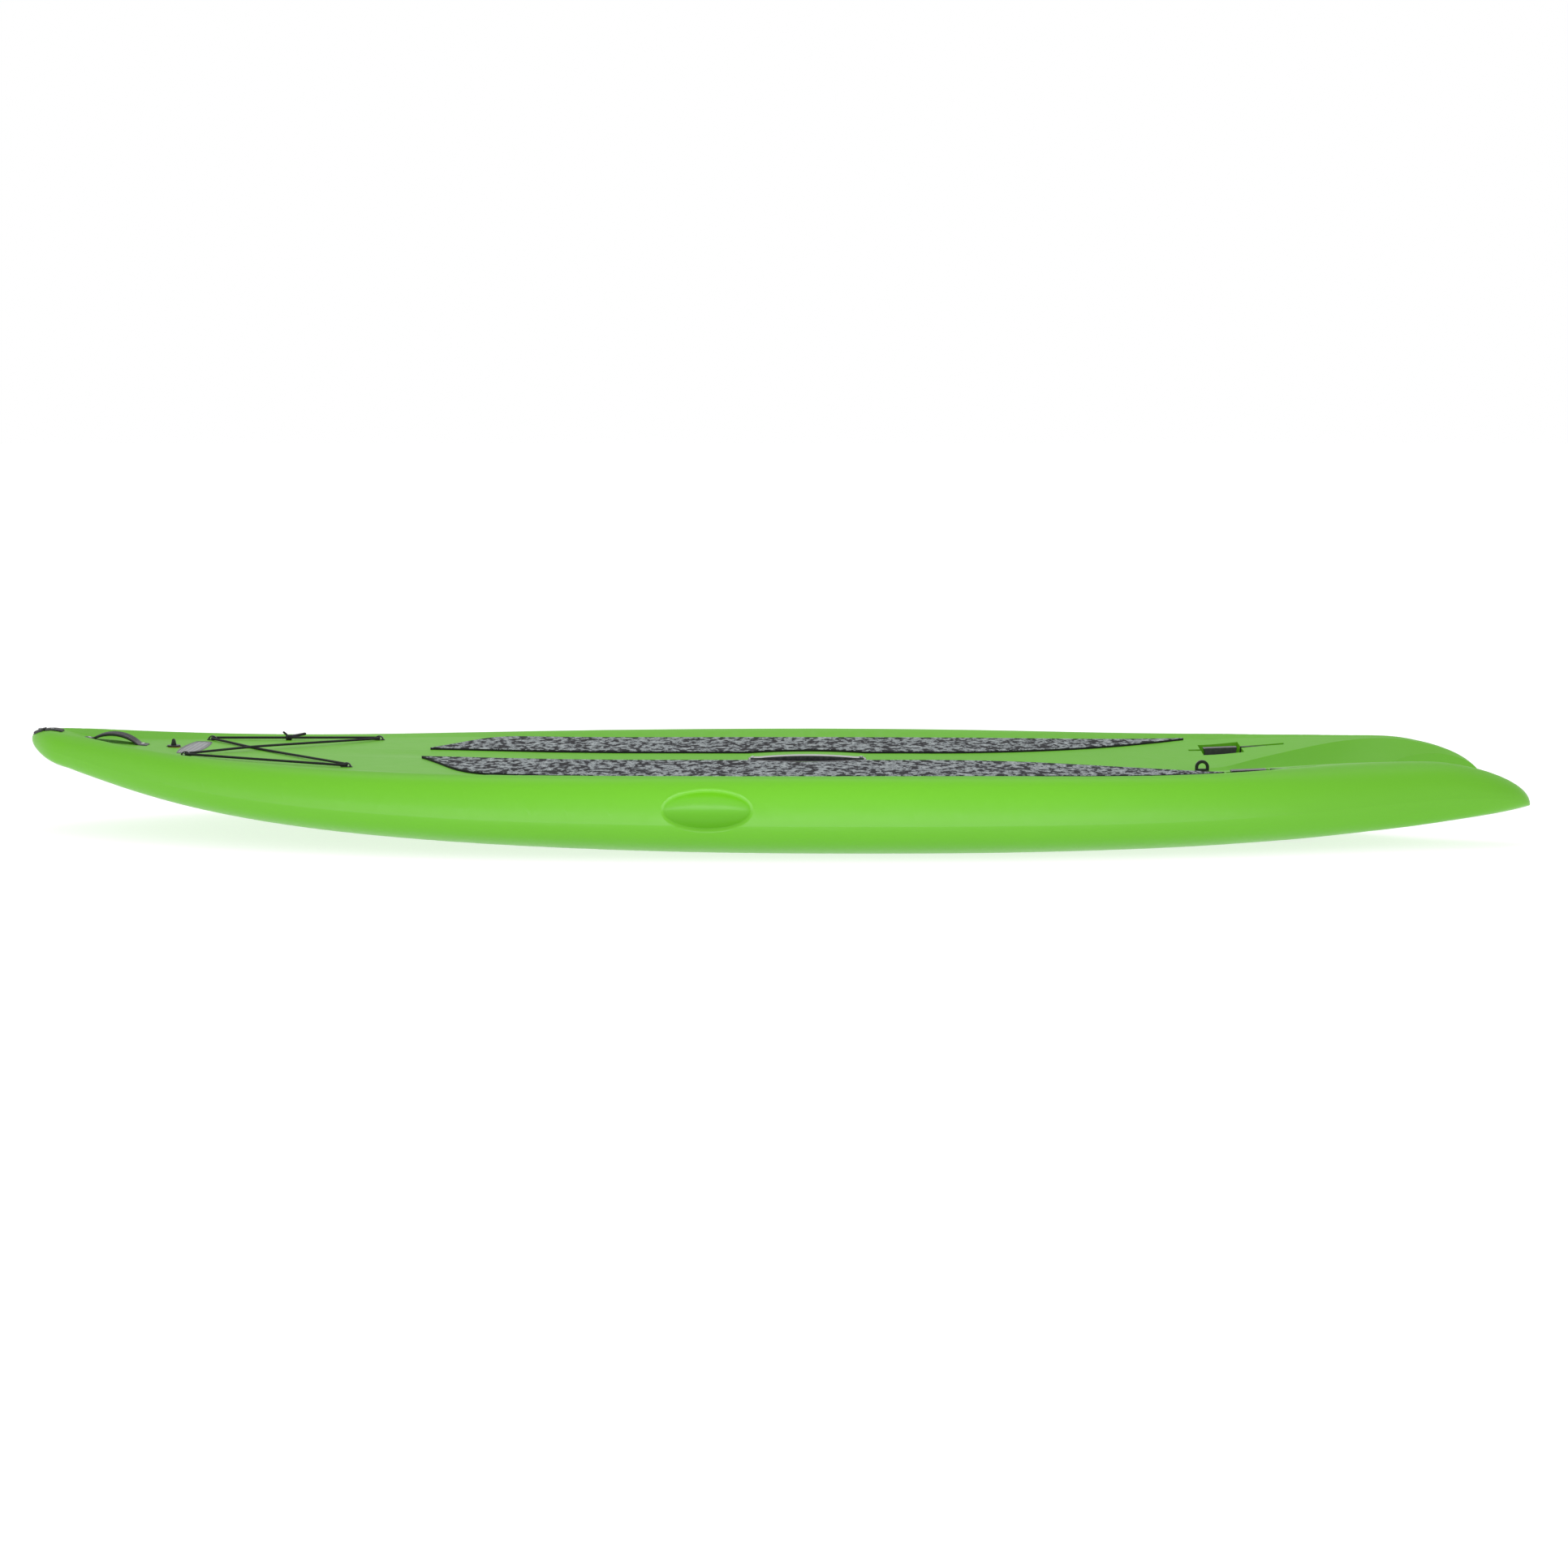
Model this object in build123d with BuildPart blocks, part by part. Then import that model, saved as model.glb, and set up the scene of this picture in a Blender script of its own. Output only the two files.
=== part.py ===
"""Ten-foot hard-shell stand up paddleboard with twin tails and kick-up fins.

Millimetres. +X runs aft, +Y to starboard and +Z up. The origin is the middle of the
board's bounding box, on the ground: the flat of the bottom rests at z = 0.
"""

import os
from math import radians, sqrt, tan

import numpy as np
from build123d import *

# ---------------------------------------------------------------- driving dimensions

LENGTH = 3048.0
HALF = LENGTH / 2
WALL = 4.8  # blow-moulded shell
NOSE_Z = 188.0  # height of the foremost point
TIP_Z = 74.5  # height of the tail tips
TIP_THICKNESS = 3.0
TIP_Y = 219.0  # a tail tip's distance from the centreline
NOSE_ROUND = 60.0  # length over which the nose closes
TAIL_ROUND = 224.0  # length over which the tails close
CHINE = 0.26  # share of the half width that the bilge takes
BULGE_HEIGHT = 0.42  # height of the widest line, as a share of the section
BLUNT = 1.5  # the round of each end is cut this much short of its point
WEB_THICKNESS = 18.0  # least thickness of the board along its centreline
KEEL_DEPTH = 12.0  # the bow's bottom is this much lower along the centreline
TUNNEL = 14.0  # the stern's bottom is this much higher along the centreline
GROOVE_Y = 68.0  # half width of the centre groove
GROOVE_AFT = 300.0  # the groove starts to open out here
GROOVE_OPEN = 902.0  # and has opened out to the rails here
SPLIT_X = 915.0  # front of the valley between the tails
NOTCH_X = 1160.0  # front of the open notch that parts the two tails
NOTCH_Y = 194.0

CAVITY_FRONT = -1476.0  # the hollow ends at stations short of the nose and of the tail tips
CAVITY_BACK = 1449.0

PAD_THICKNESS = 5.0
PAD_INNER_Y = 74.0
PAD_HANDLE_Y = 109.0  # the pads curve out to here beside the centre handle
GUARD_X = -1509.0  # wedge over the nose, with a strip behind it
GUARD_LENGTH = 22.0
GUARD_WIDTH = 34.0
GUARD_THICKNESS = 5.5
STRIP_X = -1479.5
STRIP_LENGTH = 36.0
STRIP_WIDTH = 28.0
STRIP_THICKNESS = 3.5

HANDLE_X = 80.5  # centre handle
HANDLE_LENGTH = 245.0
HANDLE_WIDTH = 112.0
HANDLE_Z = 141.0  # the moulded seat under its bezel
HANDLE_DEPTH = 46.0
HANDLE_FLANGE = 3.5
HANDLE_CUP_WALL = 3.0
HANDLE_CUP_INSET = 12.0  # from the bezel's edge to the cup
HANDLE_LIP = 6.0  # the seat reaches this far outside the bezel
HANDLE_SEAT = 12.0  # thickness of the seat
DRAFT = 6  # taper of the cup's sides
GRIP_WIDTH = 28.0
GRIP_THICKNESS = 9.0
GRIP_ARCH = 7.0
GRIP_TAB = 2.5  # thickness of its two ends

BOW_HANDLE_X = -1352.0
BOW_HANDLE_LENGTH = 133.0
BOW_HANDLE_WIDTH = 38.0
BOW_HANDLE_THICKNESS = 6.5
BOW_HANDLE_RISE = 21.0
BOW_TAB = 17.0  # length of the flat tab at each end
BOW_TAB_THICKNESS = 3.5
BOW_HANDLE_SINK = 2.0  # its tabs lie this far into the deck
BOW_SCOOP_LENGTH = 84.0
BOW_SCOOP_R = 24.0

DRAIN_X = -1233.0
DRAIN_FLANGE_R = 13.5
DRAIN_BORE_R = 8.0
PLUG_R = 7.92
PLUG_FLANGE = 3.0
PLUG_SHANK = 12.0
PLUG_WING = 13.0
GASKET_THICKNESS = 2.5
SOCKET_R = 15.5
SOCKET_DEPTH = 18.0

BADGE_X = -1190.0
BADGE_LENGTH = 200.0
BADGE_WIDTH = 50.0
BADGE_THICKNESS = 1.6

CORD_D = 5.0
FRONT_EYE = (-1180.0, 139.0)
REAR_EYE = (-840.0, 233.0)
CORD_LIFT = 4.5  # the cord's centre above the deck at the eyes
CORD_CROSSING = 2.8  # one diagonal passes this far above, and the other below
KNOT_X = -1026.0
KNOT_HALF = 9.0
KNOT_R = 5.3
KNOT_WAIST = 4.1
KNOT_TURN = 4.4  # between the turns of the knot
KNOT_END = 6.8
TAIL_R = 2.3
TAIL_LONG = 38.0
TAIL_SHORT = 17.0
TAIL_START = (0, 1.5, 1.6)  # from the knot's middle
EYE_LENGTH = 24.0
EYE_WIDTH = 9.0
EYE_HEIGHT = 10.2
EYE_FOOT = 2.2
EYE_SINK = 0.4
STUD_R = 3.0
STUD_LENGTH = 12.0
STUD_SLEEVE = 2.0  # wall of the brass insert round a stud

LEASH_X = 900.0
LEASH_WIDTH = 29.0
LEASH_HEIGHT = 23.0
LEASH_THICKNESS = 7.0
LEASH_HOLE_R = 8.0
LEASH_BAR = 5.0
LEASH_STUD_R = 4.0
LEASH_STUD = 16.0

GRIP_X = -118.0  # hand-holds in the sides
GRIP_Z = 100.0
GRIP_Y = 461.0
GRIP_LENGTH_R = 92.0
GRIP_R = 41.0
GRIP_RIM_R = 8.0  # rounding of a hand-hold's rim
GRIP_RIM_Y = 448.0  # the rim reaches past this

FIN_Y = 190.0
SLOT_FRONT = 898.0
SLOT_BACK = 1102.0
SLOT_WIDTH = 12.4
POCKET_FRONT = 924.0
POCKET_BACK = 1010.0
POCKET_WIDTH = 96.0
POCKET_FLOOR = 124.0
PIVOT_X = 930.0
PIVOT_Z = 62.0
PIN_R = 3.0
PIN_CLEARANCE = 0.06
PIN_LENGTH = 12.2
BLADE_THICKNESS = 6.0
HUB_R = 12.0
HEEL_FRONT = 1009.0  # the blade's heel shows in the slit
HEEL_BACK = 1064.0
CHEEK_GAP = 0.4
CHEEK_THICKNESS = 2.6
CHEEK_R = 11.0
BLOCK_FRONT = 930.0
BLOCK_BACK = 1000.0
BLOCK_WIDTH = 24.0
BLOCK_TOP = 145.0
BRACKET_FLANGE = 3.0

SCREW_R = 2.1
SCREW_HEAD_R = 4.2
SCREW_HEAD = 2.2
SCREW_LENGTH = 14.0


# ---------------------------------------------------------------- curves along the board


def fair_curve(points):
    """Natural cubic spline through (x, value) points, as a function of x."""
    xs = np.array([p[0] for p in points])
    ys = np.array([p[1] for p in points])
    gaps = np.diff(xs)
    slopes = np.diff(ys) / gaps
    matrix = np.eye(len(xs))
    right = np.zeros(len(xs))
    for i in range(1, len(xs) - 1):
        matrix[i, i - 1 : i + 2] = gaps[i - 1], 2 * (gaps[i - 1] + gaps[i]), gaps[i]
        right[i] = 6 * (slopes[i] - slopes[i - 1])
    bend = np.linalg.solve(matrix, right)

    def value(x):
        i = int(np.clip(np.searchsorted(xs, x) - 1, 0, len(gaps) - 1))
        h = gaps[i]
        a = (xs[i + 1] - x) / h
        b = (x - xs[i]) / h
        curve = ((a**3 - a) * bend[i] + (b**3 - b) * bend[i + 1]) * h * h / 6
        return float(a * ys[i] + b * ys[i + 1] + curve)

    return value


def rounded_end(distance, length):
    """Quarter ellipse that rises from 0 at an end of the board to 1 at length from it."""
    if distance >= length:
        return 1.0
    return sqrt(max(0.0, 1 - (1 - distance / length) ** 2))


def ramp(x, start, end, power=1.0):
    return min(1.0, max(0.0, (x - start) / (end - start))) ** power


side_y = fair_curve(
    [(-1524, 40), (-1400, 112), (-1200, 224), (-1000, 305), (-800, 366), (-550, 417), (-250, 444)]
    + [(100, 451), (450, 440), (750, 410), (1000, 365), (1200, 312), (1350, 283), (1524, 266)]
)
crest_y = fair_curve(
    [(-1524, 18), (-1440, 50), (-1300, 136), (-1100, 224), (-900, 294), (-600, 368), (-250, 405)]
    + [(100, 416), (450, 402), (800, 363), (1000, 310), (1200, 245), (1350, 226), (1524, 219)]
)
deck_y = fair_curve(
    [(-1524, 12), (-1440, 36), (-1300, 106), (-1150, 174), (-840, 270), (-560, 328), (-250, 336)]
    + [(250, 336), (600, 326), (900, 300), (1100, 252), (1250, 224), (1400, 214), (1524, 210)]
)
crest_z = fair_curve(
    [(-1524, 206), (-1440, 201.5), (-1320, 188), (-1150, 173), (-950, 163), (-700, 158.5)]
    + [(-350, 159), (50, 160), (500, 158), (800, 156), (1000, 160), (1200, 165), (1524, 166)]
)
bottom_z = fair_curve(
    [(-1524, 158), (-1440, 134), (-1280, 93), (-1000, 46), (-700, 22), (-400, 9), (-100, 1.5)]
    + [(200, -0.6), (450, -0.2), (700, 3.5), (900, 10), (1100, 23), (1320, 45), (1524, 74.5)]
)
recess_depth = fair_curve(
    [(-1524, 0), (-1475, 0.5), (-1425, 11), (-1360, 13), (-1290, 12), (-1150, 7.5), (-950, 5)]
    + [(-700, 5), (-450, 11), (-150, 14), (400, 13.5), (750, 11), (950, 8), (1150, 3), (1250, 2)]
    + [(1524, 2)]
)
valley_z = fair_curve([(SPLIT_X, 117), (1000, 101), (1100, 80), (1200, 68), (1300, 66), (1524, 70)])
split_y = fair_curve([(SPLIT_X, 22), (1000, 62), (1100, 118), (1260, 196), (1400, 203), (1524, 205)])


def groove_slope(x):
    """Slope of the groove's sides: fades in behind the bow, and flattens towards the stern."""
    return 0.147 * ramp(x, -1000, -300) - 0.040 * ramp(x, 250, GROOVE_OPEN)


def section_points(x, inset=0.0):
    """Named points of the starboard half section at x, drawn inset inside the outer skin."""
    nose = rounded_end(HALF + x + BLUNT, NOSE_ROUND)
    tail = rounded_end(HALF - x + BLUNT, TAIL_ROUND)
    tail_side = rounded_end(HALF - x + BLUNT, TAIL_ROUND / 2)

    def height(z):
        """Closes a deck height onto the nose and onto the tail tips."""
        z = NOSE_Z + (z - NOSE_Z) * nose
        floor = bottom_z(x)
        return floor + (z - floor) * tail + TIP_THICKNESS * (1 - tail) - inset

    y_side = (TIP_Y + (side_y(x) - TIP_Y) * tail_side) * nose - inset
    y_crest = crest_y(x) * nose - inset / 2
    y_deck = deck_y(x) * nose - inset / 2
    open_out = ramp(x, GROOVE_AFT, GROOVE_OPEN, 2.2)
    y_groove = min(GROOVE_Y, 0.6 * y_deck) * (1 - open_out) + 0.97 * y_deck * open_out
    if x > SPLIT_X:
        y_split = min(split_y(x), 0.985 * y_groove)
    else:
        y_split = min(22.0, 0.35 * y_groove)

    z_top = crest_z(x)
    z_deck = z_top - recess_depth(x)
    z_split = z_deck - groove_slope(x) * (y_groove - y_split)
    z_centre = z_split - groove_slope(x) * y_split / 2
    if x > SPLIT_X:
        z_centre = min(z_centre, valley_z(x))

    z_low = NOSE_Z + (bottom_z(x) - NOSE_Z) * nose + inset
    z_keel = z_low - KEEL_DEPTH * nose * ramp(-x, 500, 1250) + TUNNEL * tail * ramp(x, 500, 1050)
    y_chine = y_side * (1 - CHINE * (1 - 0.55 * ramp(x, 900, 1300)))
    z_side = z_low + BULGE_HEIGHT * (height(z_top) - z_low)
    return {
        "keel": (0.0, z_keel),
        "chine": (y_chine, z_low),
        "side": (y_side, z_side),
        "crest": (y_crest, height(z_top)),
        "deck": (y_deck, height(z_deck)),
        "groove": (y_groove, height(z_deck)),
        "split": (y_split, height(z_split)),
        "centre": (0.0, max(height(z_centre), z_keel + WEB_THICKNESS - 2 * inset)),
    }


def section(x, inset=0.0):
    """Closed hull section at x. Every section has the same edges, so that they loft evenly."""
    p = section_points(x, inset)

    def towards(start, end, share_y, share_z):
        """Bezier handle part of the way from one point to another, by a share of each coordinate."""
        return (
            p[start][0] + (p[end][0] - p[start][0]) * share_y,
            p[start][1] + (p[end][1] - p[start][1]) * share_z,
        )

    bends = [
        [p["keel"], towards("keel", "chine", 0.4, 0), towards("chine", "keel", 0.4, 0), p["chine"]],
        [p["chine"], towards("chine", "side", 0.6, 0), towards("side", "chine", 0, 0.6), p["side"]],
        [p["side"], towards("side", "crest", 0, 0.62), towards("crest", "side", 0.62, 0), p["crest"]],
        [p["crest"], towards("crest", "deck", 0.35, 0), towards("deck", "crest", 0.35, 0), p["deck"]],
        [p["deck"], p["groove"]],
        [p["groove"], p["split"]],
        [p["split"], towards("centre", "split", 0.5, 0), p["centre"]],
    ]
    starboard = [Bezier(*[(x, y, z) for y, z in bend]) for bend in bends]
    port = [Bezier(*[(x, -y, z) for y, z in reversed(bend)]) for bend in reversed(bends)]
    return Face(Wire([*starboard, *port]))


def stations(front, back):
    """Stations from front to back, closer together towards both ends of the board."""
    ends = [HALF - 300 * (i / 10) ** 2 for i in range(11)]
    middle = np.linspace(-1224, 1224, 25)
    places = sorted({round(float(x), 3) for x in [*ends, *[-e for e in ends], *middle]})
    inner = [x for x in places if front < x < back]
    return [front, *inner, back]


def deck_height(x, y):
    """Height of the outer skin's top at x and y, inside the rail crests."""
    p = section_points(x)
    y = abs(y)
    if y <= p["split"][0]:
        share = y / p["split"][0]
        return p["centre"][1] + (p["split"][1] - p["centre"][1]) * share**2
    if y <= p["groove"][0]:
        share = (y - p["split"][0]) / (p["groove"][0] - p["split"][0])
        return p["split"][1] + (p["groove"][1] - p["split"][1]) * share
    return p["deck"][1]


def deck_plane(x, y, sink=0.0):
    """Plane that lies on the deck at x and y, sunk a little into it, with its X along the board."""
    slope = (deck_height(x + 5, y) - deck_height(x - 5, y)) / 10
    return Plane(
        origin=(x, y, deck_height(x, y)), x_dir=(1, 0, slope), z_dir=(-slope, 0, 1)
    ).offset(-sink)


def lofted(front, back, inset=0.0):
    """Sections of the hull from front to back, ready to loft."""
    return [section(x, inset) for x in stations(front, back)]


# ---------------------------------------------------------------- the hull's outer body


def notch_outline(wall=0.0):
    """Plan outline, wider by wall, of the open notch between the two tails."""
    apex = (NOTCH_X - wall, 0)
    bends = [(NOTCH_X + 25, 45), (NOTCH_X + 100, 107), (NOTCH_X + 200, 158), (NOTCH_X + 300, 184)]
    mouth = (HALF + 30, NOTCH_Y)
    starboard = [(x, y + wall) for x, y in [*bends, mouth]]
    port = [(x, -y) for x, y in reversed(starboard)]
    with BuildSketch(Plane.XY.offset(-20)) as outline:
        with BuildLine():
            Spline(*port, apex, *starboard)
            Line(starboard[-1], port[0])
        make_face()
    return outline.sketch


with BuildPart() as outer_body:
    loft(sections=lofted(-HALF, HALF), clean=False)
    with BuildSketch(Plane.XY.offset(-20)):
        Rectangle(LENGTH + 100, 1000)
    extrude(amount=20, mode=Mode.SUBTRACT, clean=False)
    extrude(notch_outline(), amount=300, mode=Mode.SUBTRACT, clean=False)


# ---------------------------------------------------------------- screws and inserts


def make_screw(plane):
    """Pan-head self-tapping screw; the plane is where its head sits."""
    with BuildPart() as screw:
        with BuildSketch(plane):
            Circle(SCREW_HEAD_R)
        extrude(amount=SCREW_HEAD)
        fillet(screw.faces().sort_by(SortBy.AREA)[-1].edges(), 0.6)
        with BuildSketch(plane):
            Circle(SCREW_R)
        extrude(amount=-SCREW_LENGTH)
    return screw.part


def make_insert(plane, inner, outer, depth):
    """Brass sleeve moulded into the hull; the plane is its top."""
    with BuildPart() as sleeve:
        with BuildSketch(plane):
            Circle(outer)
            Circle(inner, mode=Mode.SUBTRACT)
        extrude(amount=-depth)
    return sleeve.part


def make_boss(plane, radius, depth):
    """Solid stretch of the hull under a fitting."""
    with BuildPart() as boss:
        with BuildSketch(plane.offset(30)):
            Circle(radius)
        extrude(amount=-30 - depth)
    return boss.part


def upright(plane):
    """Plane along the board that stands on the given one, with its Y pointing up."""
    return Plane(origin=plane.origin, x_dir=plane.x_dir, z_dir=-plane.y_dir)


# ---------------------------------------------------------------- deck pads and nose guard


def pad_outline(side):
    """Plan outline of one deck pad; side is 1 to starboard and -1 to port."""
    front = (-711, side * 73)
    shoulder = (-545, side * 316)
    back = (GROOVE_OPEN, side * 293)
    handle_front = (HANDLE_X - HANDLE_LENGTH / 2, side * PAD_INNER_Y)
    handle_back = (HANDLE_X + HANDLE_LENGTH / 2, side * PAD_INNER_Y)
    with BuildSketch(Plane.XY) as outline:
        with BuildLine():
            Spline(front, (-640, side * 215), shoulder, tangents=[(0.6, side), (1, side * 0.3)])
            Spline(shoulder, (-300, side * 329), (300, side * 329), (600, side * 318), back)
            Spline(back, (760, side * 205), (560, side * 112), (GROOVE_AFT, side * PAD_INNER_Y))
            Line((GROOVE_AFT, side * PAD_INNER_Y), handle_back)
            ThreePointArc(handle_back, (HANDLE_X, side * PAD_HANDLE_Y), handle_front)
            Line(handle_front, front)
        make_face()
    return outline.sketch


def block_outline(x, length, width, corner):
    with BuildSketch(Plane.XY) as outline:
        with Locations((x, 0)):
            RectangleRounded(length, width, corner)
    return outline.sketch


def skin(outline, thickness):
    """Sheet of even height that lies on the board's top, inside a plan outline."""
    with BuildPart() as sheet:
        extrude(outline, amount=300)
        add(outer_body.part.moved(Location((0, 0, thickness))), mode=Mode.INTERSECT)
        add(outer_body.part, mode=Mode.SUBTRACT)
    return sheet.part


right_deck_pad = skin(pad_outline(1), PAD_THICKNESS)
left_deck_pad = mirror(right_deck_pad, about=Plane.XZ)

guard_planes = [
    deck_plane(GUARD_X, 0).offset(GUARD_THICKNESS - 0.6),
    deck_plane(STRIP_X, 0).offset(STRIP_THICKNESS - 0.2),
]
guard_screws = [make_screw(plane) for plane in guard_planes]
guard_outline = block_outline(GUARD_X, GUARD_LENGTH, GUARD_WIDTH, 8)
strip_outline = block_outline(STRIP_X, STRIP_LENGTH, STRIP_WIDTH, 4)
nose_guard = skin(guard_outline, GUARD_THICKNESS) - guard_screws[0]
nose_guard_strip = skin(strip_outline, STRIP_THICKNESS) - guard_screws[1]


# ---------------------------------------------------------------- bow handle


def make_bow_handle(plane):
    """Arched strap with a flat tab at each end."""
    half = BOW_HANDLE_LENGTH / 2
    tab = half - BOW_TAB
    top = BOW_TAB_THICKNESS
    with BuildPart() as strap:
        with BuildSketch(upright(plane)):
            with BuildLine():
                Polyline((-tab + 3, 0), (-half, 0), (-half, top), (-tab, top))
                ThreePointArc((-tab, top), (0, BOW_HANDLE_RISE), (tab, top))
                Polyline((tab, top), (half, top), (half, 0), (tab - 3, 0))
                ThreePointArc(
                    (tab - 3, 0), (0, BOW_HANDLE_RISE - BOW_HANDLE_THICKNESS), (-tab + 3, 0)
                )
            make_face()
        extrude(amount=BOW_HANDLE_WIDTH / 2, both=True)
        fillet(strap.edges().filter_by(Axis(plane.origin, plane.z_dir)), 3)
    return strap.part


bow_handle_front = Vector(BOW_HANDLE_X - BOW_HANDLE_LENGTH / 2, 0, 0)
bow_handle_front.Z = deck_height(bow_handle_front.X, 0)
bow_handle_back = Vector(BOW_HANDLE_X + BOW_HANDLE_LENGTH / 2, 0, 0)
bow_handle_back.Z = deck_height(bow_handle_back.X, 0)
bow_handle_way = bow_handle_back - bow_handle_front
bow_handle_plane = Plane(
    origin=(bow_handle_front + bow_handle_back) / 2,
    x_dir=bow_handle_way,
    z_dir=bow_handle_way.cross(Vector(0, 1, 0)),
).offset(-BOW_HANDLE_SINK)
bow_screws = [
    make_screw(Plane(bow_handle_plane.location * Location((x, 0, BOW_TAB_THICKNESS))))
    for x in (-(BOW_HANDLE_LENGTH - BOW_TAB) / 2, (BOW_HANDLE_LENGTH - BOW_TAB) / 2)
]
bow_handle = make_bow_handle(bow_handle_plane)
for bow_screw in bow_screws:
    bow_handle = bow_handle - bow_screw

with BuildPart() as bow_scoop:
    with BuildSketch(upright(deck_plane(BOW_HANDLE_X, 0))):
        Ellipse(BOW_SCOOP_LENGTH / 2, BOW_SCOOP_R)
        with Locations((0, -BOW_SCOOP_R)):
            Rectangle(BOW_SCOOP_LENGTH, 2 * BOW_SCOOP_R, mode=Mode.SUBTRACT)
    revolve(axis=Axis(deck_plane(BOW_HANDLE_X, 0).origin, deck_plane(BOW_HANDLE_X, 0).x_dir))


# ---------------------------------------------------------------- drain plug

drain_z = deck_height(DRAIN_X, 0) - 1.7
drain_plane = Plane(origin=(DRAIN_X, 0, drain_z))

with BuildPart() as drain_socket:
    with BuildSketch(drain_plane):
        Circle(SOCKET_R)
    extrude(amount=-2)
    with BuildSketch(drain_plane.offset(-2)):
        Circle(SOCKET_R - 3.5)
    extrude(amount=-SOCKET_DEPTH + 2)
    with BuildSketch(drain_plane):
        Circle(DRAIN_BORE_R)
    extrude(amount=-SOCKET_DEPTH, mode=Mode.SUBTRACT)

with BuildPart() as drain_gasket:
    with BuildSketch(drain_plane):
        Circle(DRAIN_FLANGE_R - 0.8)
        Circle(DRAIN_BORE_R, mode=Mode.SUBTRACT)
    extrude(amount=GASKET_THICKNESS)

with BuildPart() as drain_plug:
    with BuildSketch(drain_plane.offset(GASKET_THICKNESS)):
        Circle(DRAIN_FLANGE_R)
    extrude(amount=PLUG_FLANGE)
    fillet(drain_plug.faces().sort_by(Axis.Z)[-1].edges(), 1.0)
    with BuildSketch(drain_plane.offset(GASKET_THICKNESS)):
        Circle(PLUG_R)
    extrude(amount=-GASKET_THICKNESS - PLUG_SHANK)
    with BuildSketch(upright(drain_plane.offset(GASKET_THICKNESS + PLUG_FLANGE))):
        with BuildLine():
            Polyline((-5.5, 0), (5.5, 0), (3.6, PLUG_WING - 3.6))
            ThreePointArc((3.6, PLUG_WING - 3.6), (0, PLUG_WING), (-3.6, PLUG_WING - 3.6))
            Line((-3.6, PLUG_WING - 3.6), (-5.5, 0))
        make_face()
    extrude(amount=1.8, both=True)


# ---------------------------------------------------------------- badge

with BuildPart() as badge_plate:
    with BuildSketch(deck_plane(BADGE_X, 0, 1.0)):
        with BuildLine():
            ThreePointArc((17, -BADGE_LENGTH / 2), (BADGE_WIDTH / 2, 0), (17, BADGE_LENGTH / 2))
            ThreePointArc((17, BADGE_LENGTH / 2), (0, BADGE_LENGTH / 2 + 5), (-17, BADGE_LENGTH / 2))
            ThreePointArc((-17, BADGE_LENGTH / 2), (-BADGE_WIDTH / 2, 0), (-17, -BADGE_LENGTH / 2))
            ThreePointArc((-17, -BADGE_LENGTH / 2), (0, -BADGE_LENGTH / 2 - 5), (17, -BADGE_LENGTH / 2))
        make_face()
    extrude(amount=BADGE_THICKNESS)


# ---------------------------------------------------------------- pad eyes and shock cord

EYE_PLACES = {
    "front_left": (FRONT_EYE[0], -FRONT_EYE[1]),
    "front_right": FRONT_EYE,
    "rear_left": (REAR_EYE[0], -REAR_EYE[1]),
    "rear_right": REAR_EYE,
}


def make_pad_eye(plane):
    """Low loop on an oblong foot, with a stud into the hull."""
    with BuildPart() as eye:
        with BuildSketch(plane):
            RectangleRounded(EYE_LENGTH, EYE_WIDTH, 4)
        extrude(amount=EYE_FOOT)
        with BuildSketch(upright(plane)):
            with BuildLine():
                Line((-9.5, 0), (-9.5, 3.5))
                ThreePointArc((-9.5, 3.5), (0, EYE_HEIGHT), (9.5, 3.5))
                Polyline((9.5, 3.5), (9.5, 0), (-9.5, 0))
            make_face()
        extrude(amount=2.2, both=True)
        with BuildSketch(upright(plane)):
            with BuildLine():
                Line((-6, EYE_FOOT), (-6, 4.2))
                ThreePointArc((-6, 4.2), (0, EYE_HEIGHT - 2.4), (6, 4.2))
                Polyline((6, 4.2), (6, EYE_FOOT), (-6, EYE_FOOT))
            make_face()
        extrude(amount=5, both=True, mode=Mode.SUBTRACT)
        with BuildSketch(plane):
            Circle(STUD_R)
        extrude(amount=-STUD_LENGTH)
    return eye.part


eye_planes = {name: deck_plane(x, y, EYE_SINK) for name, (x, y) in EYE_PLACES.items()}
pad_eyes = {name: make_pad_eye(plane) for name, plane in eye_planes.items()}
eye_inserts = [
    make_insert(plane, STUD_R, STUD_R + STUD_SLEEVE, STUD_LENGTH) for plane in eye_planes.values()
]


def through_eye(name, side, aft):
    """Cord's point beside an eye: side is 1 to starboard, and aft how far aft of its middle."""
    x, y = EYE_PLACES[name]
    return Vector(x + aft, y + 7 * side, deck_height(x, abs(y)) + CORD_LIFT)


def between(start, end, share, lift=0.0):
    return start + (end - start) * share + Vector(0, 0, lift)


rear_right_out = through_eye("rear_right", 1, -2.5)
rear_right_in = through_eye("rear_right", -1, 2.5)
front_left_in = through_eye("front_left", 1, -2.5)
front_left_out = through_eye("front_left", -1, 2.5)
rear_left_out = through_eye("rear_left", -1, -2.5)
rear_left_in = through_eye("rear_left", 1, 2.5)
front_right_in = through_eye("front_right", -1, -2.5)
front_right_out = through_eye("front_right", 1, 2.5)
cross_share = rear_right_in.Y / (rear_right_in.Y - front_left_in.Y)
knot_share = (KNOT_X - rear_right_out.X) / (front_right_out.X - rear_right_out.X)
knot = between(rear_right_out, front_right_out, knot_share)
knot_way = (front_right_out - rear_right_out).normalized()

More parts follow.
